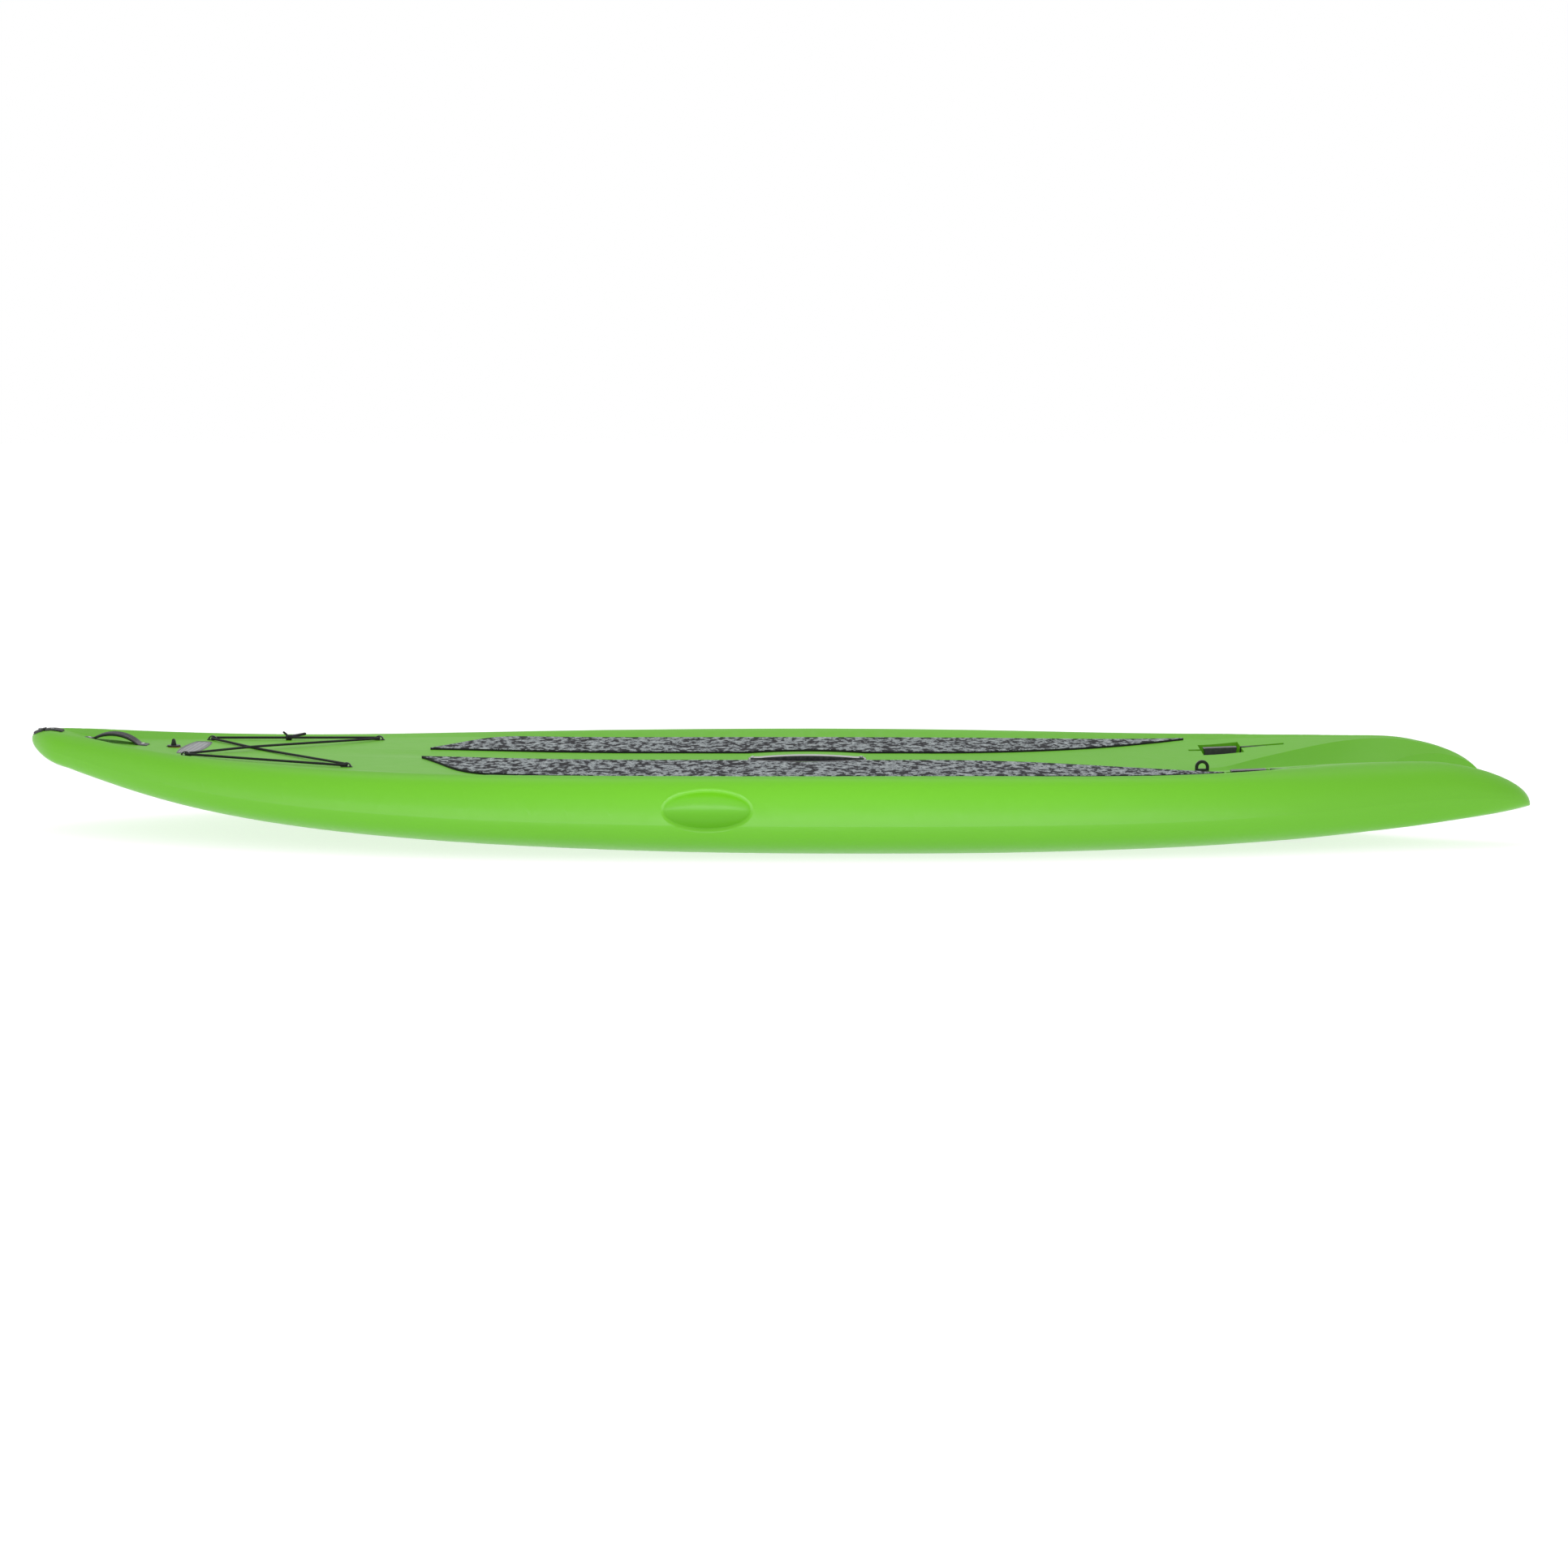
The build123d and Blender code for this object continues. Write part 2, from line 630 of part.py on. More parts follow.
cord_route = [
    knot - knot_way * KNOT_HALF,
    rear_right_out,
    rear_right_in,
    between(rear_right_in, front_left_in, cross_share, CORD_CROSSING),
    front_left_in,
    front_left_out,
    rear_left_out,
    rear_left_in,
    between(rear_left_in, front_right_in, cross_share, -CORD_CROSSING),
    front_right_in,
    front_right_out,
    knot + knot_way * KNOT_HALF,
]
cord_radii = []
for before, corner, after in zip(cord_route, cord_route[1:], cord_route[2:]):
    turn = radians((corner - before).get_angle(after - corner))
    shorter = min((corner - before).length, (after - corner).length)
    cord_radii.append(0.45 * shorter / tan(turn / 2))

print("shock cord radii", [round(r, 1) for r in cord_radii])

with BuildPart() as shock_cord:
    with BuildLine() as cord_path:
        FilletPolyline(*cord_route, radius=cord_radii)
    with BuildSketch(Plane(origin=cord_route[0], z_dir=cord_route[1] - cord_route[0])):
        Circle(CORD_D / 2)
    sweep()
cord_section = shock_cord.part.volume / cord_path.wires()[0].length
print("shock cord length", round(cord_path.wires()[0].length), "section", round(cord_section, 2))

knot_plane = Plane(origin=knot, x_dir=knot_way, z_dir=knot_way.cross(Vector(0, 0, 1)))
with BuildPart() as cord_knot:
    with BuildSketch(knot_plane):
        with BuildLine():
            Polyline(
                (-KNOT_END, CORD_D / 2),
                (-KNOT_HALF, CORD_D / 2),
                (-KNOT_HALF, 0),
                (KNOT_HALF, 0),
                (KNOT_HALF, CORD_D / 2),
                (KNOT_END, CORD_D / 2),
            )
            ThreePointArc((KNOT_END, CORD_D / 2), (KNOT_TURN, KNOT_R), (KNOT_TURN / 2, KNOT_WAIST))
            ThreePointArc((KNOT_TURN / 2, KNOT_WAIST), (0, KNOT_R), (-KNOT_TURN / 2, KNOT_WAIST))
            ThreePointArc((-KNOT_TURN / 2, KNOT_WAIST), (-KNOT_TURN, KNOT_R), (-KNOT_END, CORD_D / 2))
        make_face()
    revolve(axis=Axis(knot, knot_way))
    with BuildSketch(Plane(origin=knot + Vector(*TAIL_START), z_dir=(0.8, 0.58, 0.1))):
        Circle(TAIL_R)
    extrude(amount=TAIL_LONG)
    with BuildSketch(Plane(origin=knot + Vector(*TAIL_START), z_dir=(-0.72, 0.3, 0.5))):
        Circle(TAIL_R)
    extrude(amount=TAIL_SHORT)


# ---------------------------------------------------------------- leash ring

leash_plane = Plane(origin=(LEASH_X, 0, deck_height(LEASH_X, 0) - 0.8))
with BuildPart() as leash_ring:
    with BuildSketch(upright(leash_plane)):
        with BuildLine():
            Line((-LEASH_WIDTH / 2, 0), (-LEASH_WIDTH / 2, LEASH_HEIGHT - LEASH_WIDTH / 2))
            ThreePointArc(
                (-LEASH_WIDTH / 2, LEASH_HEIGHT - LEASH_WIDTH / 2),
                (0, LEASH_HEIGHT),
                (LEASH_WIDTH / 2, LEASH_HEIGHT - LEASH_WIDTH / 2),
            )
            Polyline(
                (LEASH_WIDTH / 2, LEASH_HEIGHT - LEASH_WIDTH / 2),
                (LEASH_WIDTH / 2, 0),
                (-LEASH_WIDTH / 2, 0),
            )
        make_face()
        with BuildLine():
            Line((-LEASH_HOLE_R, LEASH_BAR), (-LEASH_HOLE_R, LEASH_HEIGHT - LEASH_WIDTH / 2))
            ThreePointArc(
                (-LEASH_HOLE_R, LEASH_HEIGHT - LEASH_WIDTH / 2),
                (0, LEASH_HEIGHT - LEASH_WIDTH / 2 + LEASH_HOLE_R),
                (LEASH_HOLE_R, LEASH_HEIGHT - LEASH_WIDTH / 2),
            )
            Polyline(
                (LEASH_HOLE_R, LEASH_HEIGHT - LEASH_WIDTH / 2),
                (LEASH_HOLE_R, LEASH_BAR),
                (-LEASH_HOLE_R, LEASH_BAR),
            )
        make_face(mode=Mode.SUBTRACT)
    extrude(amount=LEASH_THICKNESS / 2, both=True)
    fillet(leash_ring.edges().filter_by(GeomType.CIRCLE), 1.2)
    with BuildSketch(leash_plane):
        Circle(LEASH_STUD_R)
    extrude(amount=-LEASH_STUD)
leash_insert = make_insert(leash_plane, LEASH_STUD_R, LEASH_STUD_R + STUD_SLEEVE, LEASH_STUD)


# ---------------------------------------------------------------- centre handle


def handle_outline(plane, inset=0.0):
    """Long lens with squared-off ends, drawn inset from the bezel's edge."""
    end_x = HANDLE_LENGTH / 2 - inset
    end_y = max(6.0, 17 - inset * 0.3)
    mid_y = HANDLE_WIDTH / 2 - inset
    with BuildSketch(plane) as outline:
        with BuildLine():
            ThreePointArc((-end_x, -end_y), (0, -mid_y), (end_x, -end_y))
            Line((end_x, -end_y), (end_x, end_y))
            ThreePointArc((end_x, end_y), (0, mid_y), (-end_x, end_y))
            Line((-end_x, end_y), (-end_x, -end_y))
        make_face()
        fillet(outline.vertices(), 4)
    return outline.sketch


handle_plane = Plane(origin=(HANDLE_X, 0, HANDLE_Z))

with BuildPart() as handle_well:
    extrude(handle_outline(handle_plane, HANDLE_CUP_INSET), amount=-HANDLE_DEPTH, taper=DRAFT)

with BuildPart() as handle_bezel:
    extrude(handle_outline(handle_plane), amount=HANDLE_FLANGE)
    chamfer(handle_bezel.faces().sort_by(Axis.Z)[-1].edges(), 1.2)
    add(handle_well.part)
    extrude(
        handle_outline(handle_plane.offset(HANDLE_FLANGE), HANDLE_CUP_INSET + HANDLE_CUP_WALL),
        amount=-HANDLE_FLANGE - HANDLE_DEPTH + HANDLE_CUP_WALL,
        taper=DRAFT,
        mode=Mode.SUBTRACT,
    )

grip_end = HANDLE_LENGTH / 2 - 5
with BuildPart() as handle_grip:
    with BuildSketch(upright(handle_plane.offset(HANDLE_FLANGE))):
        with BuildLine():
            Polyline((-98, 0), (-grip_end, 0), (-grip_end, GRIP_TAB), (-100, GRIP_TAB))
            ThreePointArc((-100, GRIP_TAB), (0, GRIP_ARCH), (100, GRIP_TAB))
            Polyline((100, GRIP_TAB), (grip_end, GRIP_TAB), (grip_end, 0), (98, 0))
            ThreePointArc((98, 0), (0, GRIP_ARCH - GRIP_THICKNESS), (-98, 0))
        make_face()
    extrude(amount=GRIP_WIDTH / 2, both=True)
handle_screws = [
    make_screw(Plane(handle_plane.location * Location((x, 0, HANDLE_FLANGE + GRIP_TAB))))
    for x in (6 - grip_end, grip_end - 6)
]
centre_handle_grip = handle_grip.part
centre_handle_bezel = handle_bezel.part
for handle_screw in handle_screws:
    centre_handle_grip = centre_handle_grip - handle_screw
    centre_handle_bezel = centre_handle_bezel - handle_screw


# ---------------------------------------------------------------- kick-up fins, starboard side


def fin_plane(y):
    """Upright plane along the board, y to starboard; sketched points are X and Z."""
    return Plane(origin=(0, y, 0), x_dir=(1, 0, 0), z_dir=(0, -1, 0))


pocket_middle = (POCKET_FRONT + POCKET_BACK) / 2
block_middle = (BLOCK_FRONT + BLOCK_BACK) / 2
bracket_screw_planes = [
    Plane(origin=(block_middle + x, FIN_Y + y, POCKET_FLOOR + BRACKET_FLANGE))
    for x in (-26, 26)
    for y in (-21, 21)
]
right_bracket_screws = [make_screw(plane) for plane in bracket_screw_planes]
left_bracket_screws = [mirror(screw, about=Plane.XZ) for screw in right_bracket_screws]

with BuildPart() as fin_bracket:
    with BuildSketch(Plane.XY.offset(POCKET_FLOOR)):
        with Locations((block_middle, FIN_Y)):
            RectangleRounded(BLOCK_BACK - BLOCK_FRONT + 6, 56, 5)
    extrude(amount=BRACKET_FLANGE)
    with BuildSketch(fin_plane(FIN_Y)):
        with BuildLine():
            Polyline(
                (BLOCK_FRONT + 5, POCKET_FLOOR),
                (BLOCK_FRONT, BLOCK_TOP - 2),
                (BLOCK_FRONT + 2, BLOCK_TOP - 1),
                (BLOCK_BACK, BLOCK_TOP + 1.5),
                (BLOCK_BACK - 4, POCKET_FLOOR),
                close=True,
            )
        make_face()
    extrude(amount=BLOCK_WIDTH / 2, both=True)
    for side in (-1, 1):
        with BuildSketch(fin_plane(FIN_Y + side * (BLADE_THICKNESS / 2 + CHEEK_GAP))):
            with BuildLine():
                Line((PIVOT_X + CHEEK_R, PIVOT_Z), (PIVOT_X + CHEEK_R, POCKET_FLOOR + 1))
                Line((PIVOT_X + CHEEK_R, POCKET_FLOOR + 1), (PIVOT_X - 3, POCKET_FLOOR + 1))
                Line((PIVOT_X - 3, POCKET_FLOOR + 1), (PIVOT_X - CHEEK_R, PIVOT_Z + 10))
                Line((PIVOT_X - CHEEK_R, PIVOT_Z + 10), (PIVOT_X - CHEEK_R, PIVOT_Z))
                ThreePointArc(
                    (PIVOT_X - CHEEK_R, PIVOT_Z),
                    (PIVOT_X, PIVOT_Z - CHEEK_R),
                    (PIVOT_X + CHEEK_R, PIVOT_Z),
                )
            make_face()
        extrude(amount=-side * CHEEK_THICKNESS)
    with BuildSketch(fin_plane(FIN_Y + SLOT_WIDTH)):
        with Locations((PIVOT_X, PIVOT_Z)):
            Circle(PIN_R)
    extrude(amount=2 * SLOT_WIDTH, mode=Mode.SUBTRACT)
right_fin_bracket = fin_bracket.part
for bracket_screw in right_bracket_screws:
    right_fin_bracket = right_fin_bracket - bracket_screw

with BuildPart() as right_fin_pin:
    with BuildSketch(fin_plane(FIN_Y)):
        with Locations((PIVOT_X, PIVOT_Z)):
            Circle(PIN_R)
    extrude(amount=PIN_LENGTH / 2, both=True)

heel_front_z = deck_height(HEEL_FRONT, FIN_Y) + 1.5
heel_back_z = deck_height(HEEL_BACK, FIN_Y) - 1.5
with BuildPart() as right_fin_blade:
    with BuildSketch(fin_plane(FIN_Y)) as blade_outline:
        with BuildLine():
            Spline((PIVOT_X, PIVOT_Z - HUB_R), (985, 44), (1048, 54), (1086, 82))
            Spline((1086, 82), (1092, 98), (1080, 130), (HEEL_BACK, heel_back_z))
            Line((HEEL_BACK, heel_back_z), (HEEL_FRONT, heel_front_z))
            Polyline(
                (HEEL_FRONT, heel_front_z),
                (HEEL_FRONT - 3, POCKET_FLOOR - 4),
                (968, 110),
                (PIVOT_X, PIVOT_Z + HUB_R),
                (PIVOT_X, PIVOT_Z - HUB_R),
            )
        make_face()
        with Locations((PIVOT_X, PIVOT_Z)):
            Circle(HUB_R)
    extrude(amount=BLADE_THICKNESS / 2, both=True)
    with BuildSketch(fin_plane(FIN_Y + SLOT_WIDTH)):
        with Locations((PIVOT_X, PIVOT_Z)):
            Circle(PIN_R + PIN_CLEARANCE)
    extrude(amount=2 * SLOT_WIDTH, mode=Mode.SUBTRACT)


# ---------------------------------------------------------------- hull shell


def make_hand_hold(side, wall=0.0):
    """Oval dish in the hull's side."""
    axis_line = Axis((GRIP_X, side * GRIP_Y, GRIP_Z), (1, 0, 0))
    with BuildPart() as dish:
        with BuildSketch(Plane(origin=axis_line.position, x_dir=(1, 0, 0), z_dir=(0, -1, 0))):
            Ellipse(GRIP_LENGTH_R + wall, GRIP_R + wall)
            with Locations((0, -GRIP_R - wall)):
                Rectangle(3 * GRIP_LENGTH_R, 2 * (GRIP_R + wall), mode=Mode.SUBTRACT)
        revolve(axis=axis_line)
    return dish.part


def is_hand_hold_rim(edge):
    """Whether an edge is on the rim of a hand-hold."""
    box = edge.bounding_box()
    centred = abs(box.center().X - GRIP_X) < GRIP_LENGTH_R / 4
    reach = max(box.max.Y, -box.min.Y)
    return centred and reach > GRIP_RIM_Y and box.min.Z > GRIP_Z - 1.1 * GRIP_R


def make_fin_well(side, wall=0.0):
    """Slot through the hull for a fin, and the pocket for its bracket."""
    with BuildPart() as well:
        with BuildSketch(Plane.XY.offset(-20)):
            with Locations(((SLOT_FRONT + SLOT_BACK) / 2, side * FIN_Y)):
                Rectangle(SLOT_BACK - SLOT_FRONT + 2 * wall, SLOT_WIDTH + 2 * wall)
        extrude(amount=250)
        with BuildSketch(Plane.XY.offset(POCKET_FLOOR - wall)):
            with Locations((pocket_middle, side * FIN_Y)):
                Rectangle(POCKET_BACK - POCKET_FRONT + 2 * wall, POCKET_WIDTH + 2 * wall)
        extrude(amount=100)
    return well.part


with BuildPart() as cavity:
    loft(sections=lofted(CAVITY_FRONT, CAVITY_BACK, WALL), clean=False)
    extrude(notch_outline(WALL), amount=300, mode=Mode.SUBTRACT, clean=False)
    for side in (-1, 1):
        add(make_hand_hold(side, WALL), mode=Mode.SUBTRACT, clean=False)
        add(make_fin_well(side, WALL), mode=Mode.SUBTRACT, clean=False)
    for plane in eye_planes.values():
        add(make_boss(plane, 12, STUD_LENGTH + WALL), mode=Mode.SUBTRACT, clean=False)
    for plane in [*guard_planes, bow_handle_plane]:
        add(make_boss(plane, 70, 34), mode=Mode.SUBTRACT, clean=False)
    add(make_boss(drain_plane, SOCKET_R + WALL, SOCKET_DEPTH - 4), mode=Mode.SUBTRACT, clean=False)
    add(make_boss(leash_plane, 14, LEASH_STUD + WALL), mode=Mode.SUBTRACT, clean=False)
    extrude(
        handle_outline(handle_plane.offset(20), HANDLE_CUP_INSET - WALL),
        amount=-20 - HANDLE_DEPTH - WALL,
        mode=Mode.SUBTRACT,
        clean=False,
    )

with BuildPart() as hull_shell:
    add(outer_body.part)
    for side in (-1, 1):
        add(make_hand_hold(side), mode=Mode.SUBTRACT, clean=False)
    fillet([edge for edge in hull_shell.edges() if is_hand_hold_rim(edge)], GRIP_RIM_R)
    add(cavity.part, mode=Mode.SUBTRACT, clean=False)
    extrude(
        handle_outline(handle_plane.offset(-HANDLE_SEAT), -HANDLE_LIP),
        amount=HANDLE_SEAT,
        clean=False,
    )
    extrude(
        handle_outline(handle_plane, -HANDLE_LIP), amount=40, mode=Mode.SUBTRACT, clean=False
    )
    add(handle_well.part, mode=Mode.SUBTRACT, clean=False)
    for side in (-1, 1):
        add(make_fin_well(side), mode=Mode.SUBTRACT, clean=False)
    add(bow_scoop.part, mode=Mode.SUBTRACT, clean=False)
    with BuildSketch(drain_plane):
        Circle(SOCKET_R)
    extrude(amount=20, mode=Mode.SUBTRACT, clean=False)
    with BuildSketch(drain_plane):
        Circle(DRAIN_BORE_R + 1)
    extrude(amount=-SOCKET_DEPTH - 10, mode=Mode.SUBTRACT, clean=False)
    sunk = [drain_socket.part, badge_plate.part, bow_handle, leash_ring.part, leash_insert]
    sunk += [*pad_eyes.values(), *eye_inserts, *guard_screws, *bow_screws, *handle_screws]
    sunk += [*right_bracket_screws, *left_bracket_screws]
    for piece in sunk:
        add(piece, mode=Mode.SUBTRACT, clean=False)


# ---------------------------------------------------------------- pieces

pieces = {
    "hull_shell": hull_shell.part,
    "left_deck_pad": left_deck_pad,
    "right_deck_pad": right_deck_pad,
    "nose_guard": nose_guard,
    "nose_guard_strip": nose_guard_strip,
    "nose_guard_screws": Compound(guard_screws),
    "bow_handle": bow_handle,
    "bow_handle_screws": Compound(bow_screws),
    "drain_socket": drain_socket.part,
    "drain_gasket": drain_gasket.part,
    "drain_plug": drain_plug.part,
    "badge_plate": badge_plate.part,
    "pad_eye_inserts": Compound(eye_inserts),
    "shock_cord": shock_cord.part,
    "cord_knot": cord_knot.part,
    "leash_ring": leash_ring.part,
    "leash_insert": leash_insert,
    "centre_handle_bezel": centre_handle_bezel,
    "centre_handle_grip": centre_handle_grip,
    "centre_handle_screws": Compound(handle_screws),
}
for name, eye in pad_eyes.items():
    pieces[f"pad_eye_{name}"] = eye

starboard_pieces = {
    "fin_bracket": right_fin_bracket,
    "fin_blade": right_fin_blade.part,
    "fin_pivot_pin": right_fin_pin.part,
}
for name, piece in starboard_pieces.items():
    pieces[f"right_{name}"] = piece
    pieces[f"left_{name}"] = mirror(piece, about=Plane.XZ)
pieces["right_fin_bracket_screws"] = Compound(right_bracket_screws)
pieces["left_fin_bracket_screws"] = Compound([s.solid() for s in left_bracket_screws])

os.makedirs("parts", exist_ok=True)
for name, piece in pieces.items():
    piece.label = name
    export_step(piece, f"parts/{name}.step")
    print(name, len(piece.solids()), round(piece.volume), piece.is_valid)
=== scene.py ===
"""Stand up paddleboard: materials, foam pads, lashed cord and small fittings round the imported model."""

from math import cos, pi, radians, sin, sqrt

import bmesh
import bpy
from mathutils import Matrix, Vector
from mathutils.bvhtree import BVHTree


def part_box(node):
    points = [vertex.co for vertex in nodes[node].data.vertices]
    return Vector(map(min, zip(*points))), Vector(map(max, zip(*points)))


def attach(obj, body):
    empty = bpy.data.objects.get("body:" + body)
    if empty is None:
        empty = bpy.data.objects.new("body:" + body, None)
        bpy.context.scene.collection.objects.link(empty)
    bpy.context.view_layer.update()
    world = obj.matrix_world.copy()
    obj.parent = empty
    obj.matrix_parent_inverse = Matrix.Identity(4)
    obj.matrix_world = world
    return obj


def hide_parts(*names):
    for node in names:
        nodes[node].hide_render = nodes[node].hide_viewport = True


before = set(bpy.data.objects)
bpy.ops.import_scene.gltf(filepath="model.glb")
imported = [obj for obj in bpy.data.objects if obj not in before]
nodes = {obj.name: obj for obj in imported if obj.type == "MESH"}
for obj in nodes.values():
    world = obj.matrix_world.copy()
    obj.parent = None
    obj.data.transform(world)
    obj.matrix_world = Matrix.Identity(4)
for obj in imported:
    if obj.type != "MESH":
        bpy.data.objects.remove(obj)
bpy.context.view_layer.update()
scene = bpy.context.scene

# ---------------------------------------------------------------- camera, floor and light

camera_data = bpy.data.cameras.new("camera")
camera_data.lens = 65.77
camera_data.sensor_width = 36
camera_data.clip_end = 200
camera = bpy.data.objects.new("camera", camera_data)
camera.location = (0.0323, -5.9, 0.8696)
camera.rotation_euler = (radians(90 - 7.52), 0, 0)
scene.collection.objects.link(camera)
scene.camera = camera

scene.view_settings.view_transform = "Standard"

world = bpy.data.worlds.new("studio")
scene.world = world
world.use_nodes = True
sky = world.node_tree.nodes
sky_way = sky.new("ShaderNodeTexCoord")
sky_split = sky.new("ShaderNodeSeparateXYZ")
sky_shade = sky.new("ShaderNodeValToRGB")
sky_shade.color_ramp.elements[0].position = 0.20
sky_shade.color_ramp.elements[0].color = (1, 1, 1, 1)
sky_shade.color_ramp.elements[1].position = 0.5
sky_shade.color_ramp.elements[1].color = (0.76, 0.76, 0.76, 1)
world.node_tree.links.new(sky_way.outputs["Generated"], sky_split.inputs["Vector"])
world.node_tree.links.new(sky_split.outputs["Z"], sky_shade.inputs["Fac"])
world.node_tree.links.new(sky_shade.outputs["Color"], sky["Background"].inputs["Color"])
sky["Background"].inputs["Strength"].default_value = 1.0


def area_light(name, place, aim, size, energy):
    data = bpy.data.lights.new(name, "AREA")
    data.shape = "RECTANGLE"
    data.size, data.size_y = size
    data.energy = energy
    light = bpy.data.objects.new(name, data)
    light.location = place
    way = Vector(aim) - Vector(place)
    light.rotation_euler = way.to_track_quat("-Z", "Y").to_euler()
    scene.collection.objects.link(light)
    return light


area_light("overhead_softbox", (0.0, 0.4, 3.2), (0, 0, 0), (4.5, 2.2), 27)
area_light("floor_softbox", (-0.6, -1.6, 0.02), (-0.6, -1.6, 1), (3.8, 1.9), 60)


# ---------------------------------------------------------------- materials


class Finish:
    """One procedural material: a Principled shader and the nodes that drive it."""

    def __init__(self, name, colour, roughness, metallic=0.0, specular=0.5):
        self.material = bpy.data.materials.new(name)
        self.material.use_nodes = True
        self.tree = self.material.node_tree
        self.shader = self.tree.nodes["Principled BSDF"]
        self.shader.inputs["Base Color"].default_value = (*colour, 1)
        self.shader.inputs["Roughness"].default_value = roughness
        self.shader.inputs["Metallic"].default_value = metallic
        self.shader.inputs["Specular IOR Level"].default_value = specular
        self.place = self.tree.nodes.new("ShaderNodeTexCoord").outputs["Object"]

    def node(self, kind, **values):
        made = self.tree.nodes.new(kind)
        for key, value in values.items():
            setattr(made, key, value)
        return made

    def link(self, output, node, socket):
        self.tree.links.new(output, node.inputs[socket])

    def stretched(self, scale, turn=(0, 0, 0)):
        """Object coordinates, scaled along each axis."""
        mapping = self.node("ShaderNodeMapping")
        mapping.inputs["Scale"].default_value = scale
        mapping.inputs["Rotation"].default_value = turn
        self.link(self.place, mapping, "Vector")
        return mapping.outputs["Vector"]

    def noise(self, scale, detail=2.0, roughness=0.5, place=None, distortion=0.0):
        made = self.node("ShaderNodeTexNoise")
        made.inputs["Scale"].default_value = scale
        made.inputs["Detail"].default_value = detail
        made.inputs["Roughness"].default_value = roughness
        made.inputs["Distortion"].default_value = distortion
        self.link(place or self.place, made, "Vector")
        return made.outputs["Fac"]

    def ramp(self, value, stops, sharp=False):
        """Colour ramp; stops are (position, grey or colour)."""
        made = self.node("ShaderNodeValToRGB")
        made.color_ramp.interpolation = "CONSTANT" if sharp else "LINEAR"
        elements = made.color_ramp.elements
        while len(elements) < len(stops):
            elements.new(0.5)
        for element, (position, colour) in zip(elements, stops):
            element.position = position
            grey = isinstance(colour, (int, float))
            element.color = (colour, colour, colour, 1) if grey else (*colour, 1)
        self.link(value, made, "Fac")
        return made.outputs["Color"]

    def math(self, kind, first, second):
        made = self.node("ShaderNodeMath", operation=kind)
        for i, value in enumerate((first, second)):
            if isinstance(value, (int, float)):
                made.inputs[i].default_value = value
            else:
                self.tree.links.new(value, made.inputs[i])
        return made.outputs["Value"]

    def mix(self, share, first, second, blend="MIX"):
        """Colour mix; each end is a socket or a colour."""
        made = self.node("ShaderNodeMix", data_type="RGBA", blend_type=blend)
        for socket, value in ((0, share), (6, first), (7, second)):
            if isinstance(value, (int, float)):
                made.inputs[socket].default_value = value
            elif isinstance(value, tuple):
                made.inputs[socket].default_value = (*value, 1)
            else:
                self.tree.links.new(value, made.inputs[socket])
        return made.outputs[2]

    def colour(self, output):
        self.link(output, self.shader, "Base Color")

    def roughness(self, value, low, high):
        """Roughness that runs from low to high with a 0 to 1 value."""
        spread = self.node("ShaderNodeMapRange", clamp=False)
        spread.inputs["To Min"].default_value = low
        spread.inputs["To Max"].default_value = high
        self.link(value, spread, "Value")
        self.link(spread.outputs["Result"], self.shader, "Roughness")

    def bump(self, height, distance, strength=1.0):
        made = self.node("ShaderNodeBump")
        made.inputs["Distance"].default_value = distance
        made.inputs["Strength"].default_value = strength
        self.link(height, made, "Height")
        self.link(made.outputs["Normal"], self.shader, "Normal")


def moulded(name, colour, roughness, grain=900, depth=0.00006, worn=None, specular=0.5):
    """Moulded plastic or rubber: fine grain, uneven gloss, and edges worn a little lighter."""
    made = Finish(name, colour, roughness, specular=specular)
    broad = made.noise(14, 3, 0.55)
    fine = made.noise(grain, 2, 0.6)
    shade = made.mix(broad, tuple(0.86 * c for c in colour), tuple(1.14 * c for c in colour))
    if worn:
        edge = made.node("ShaderNodeNewGeometry").outputs["Pointiness"]
        rubbed = made.ramp(edge, [(0.515, 0.0), (0.56, 1.0)])
        patchy = made.math("MULTIPLY", rubbed, made.noise(160, 3, 0.6))
        shade = made.mix(patchy, shade, worn)
    made.colour(shade)
    made.roughness(made.noise(45, 4, 0.6), roughness - 0.07, roughness + 0.07)
    made.bump(fine, depth)
    return made


LIME = (0.126, 0.452, 0.007)
hull = Finish("lime_polyethylene", LIME, 0.30, specular=0.5)
hull_drift = hull.noise(1.1, 2, 0.5)
hull_cloud = hull.noise(9, 4, 0.6, place=hull.stretched((0.35, 1, 1)))
hull_shade = hull.mix(hull_drift, tuple(0.965 * c for c in LIME), tuple(1.035 * c for c in LIME))
hull_shade = hull.mix(
    hull.ramp(hull_cloud, [(0.35, 0.0), (0.75, 1.0)]), hull_shade, tuple(1.03 * c for c in LIME)
)
hull_scratch = hull.noise(30, 6, 0.75, place=hull.stretched((0.8, 26, 26)))
hull_low = hull.node("ShaderNodeSeparateXYZ")
hull.link(hull.place, hull_low, "Vector")
hull_rubbed = hull.math(
    "MULTIPLY",
    hull.ramp(hull_scratch, [(0.60, 0.0), (0.66, 1.0)]),
    hull.ramp(hull_low.outputs["Z"], [(0.0, 0.34), (0.03, 0.0)]),
)
hull.colour(hull.mix(hull_rubbed, hull_shade, (0.33, 0.68, 0.20)))
hull_facing = hull.node("ShaderNodeSeparateXYZ")
hull.link(hull.node("ShaderNodeNewGeometry").outputs["Normal"], hull_facing, "Vector")
hull_deck = hull.ramp(hull_facing.outputs["Z"], [(0.55, 0.0), (0.93, 1.0)])
hull_uneven = hull.math("ADD", hull.noise(26, 5, 0.6), hull.math("MULTIPLY", hull_rubbed, 1.5))
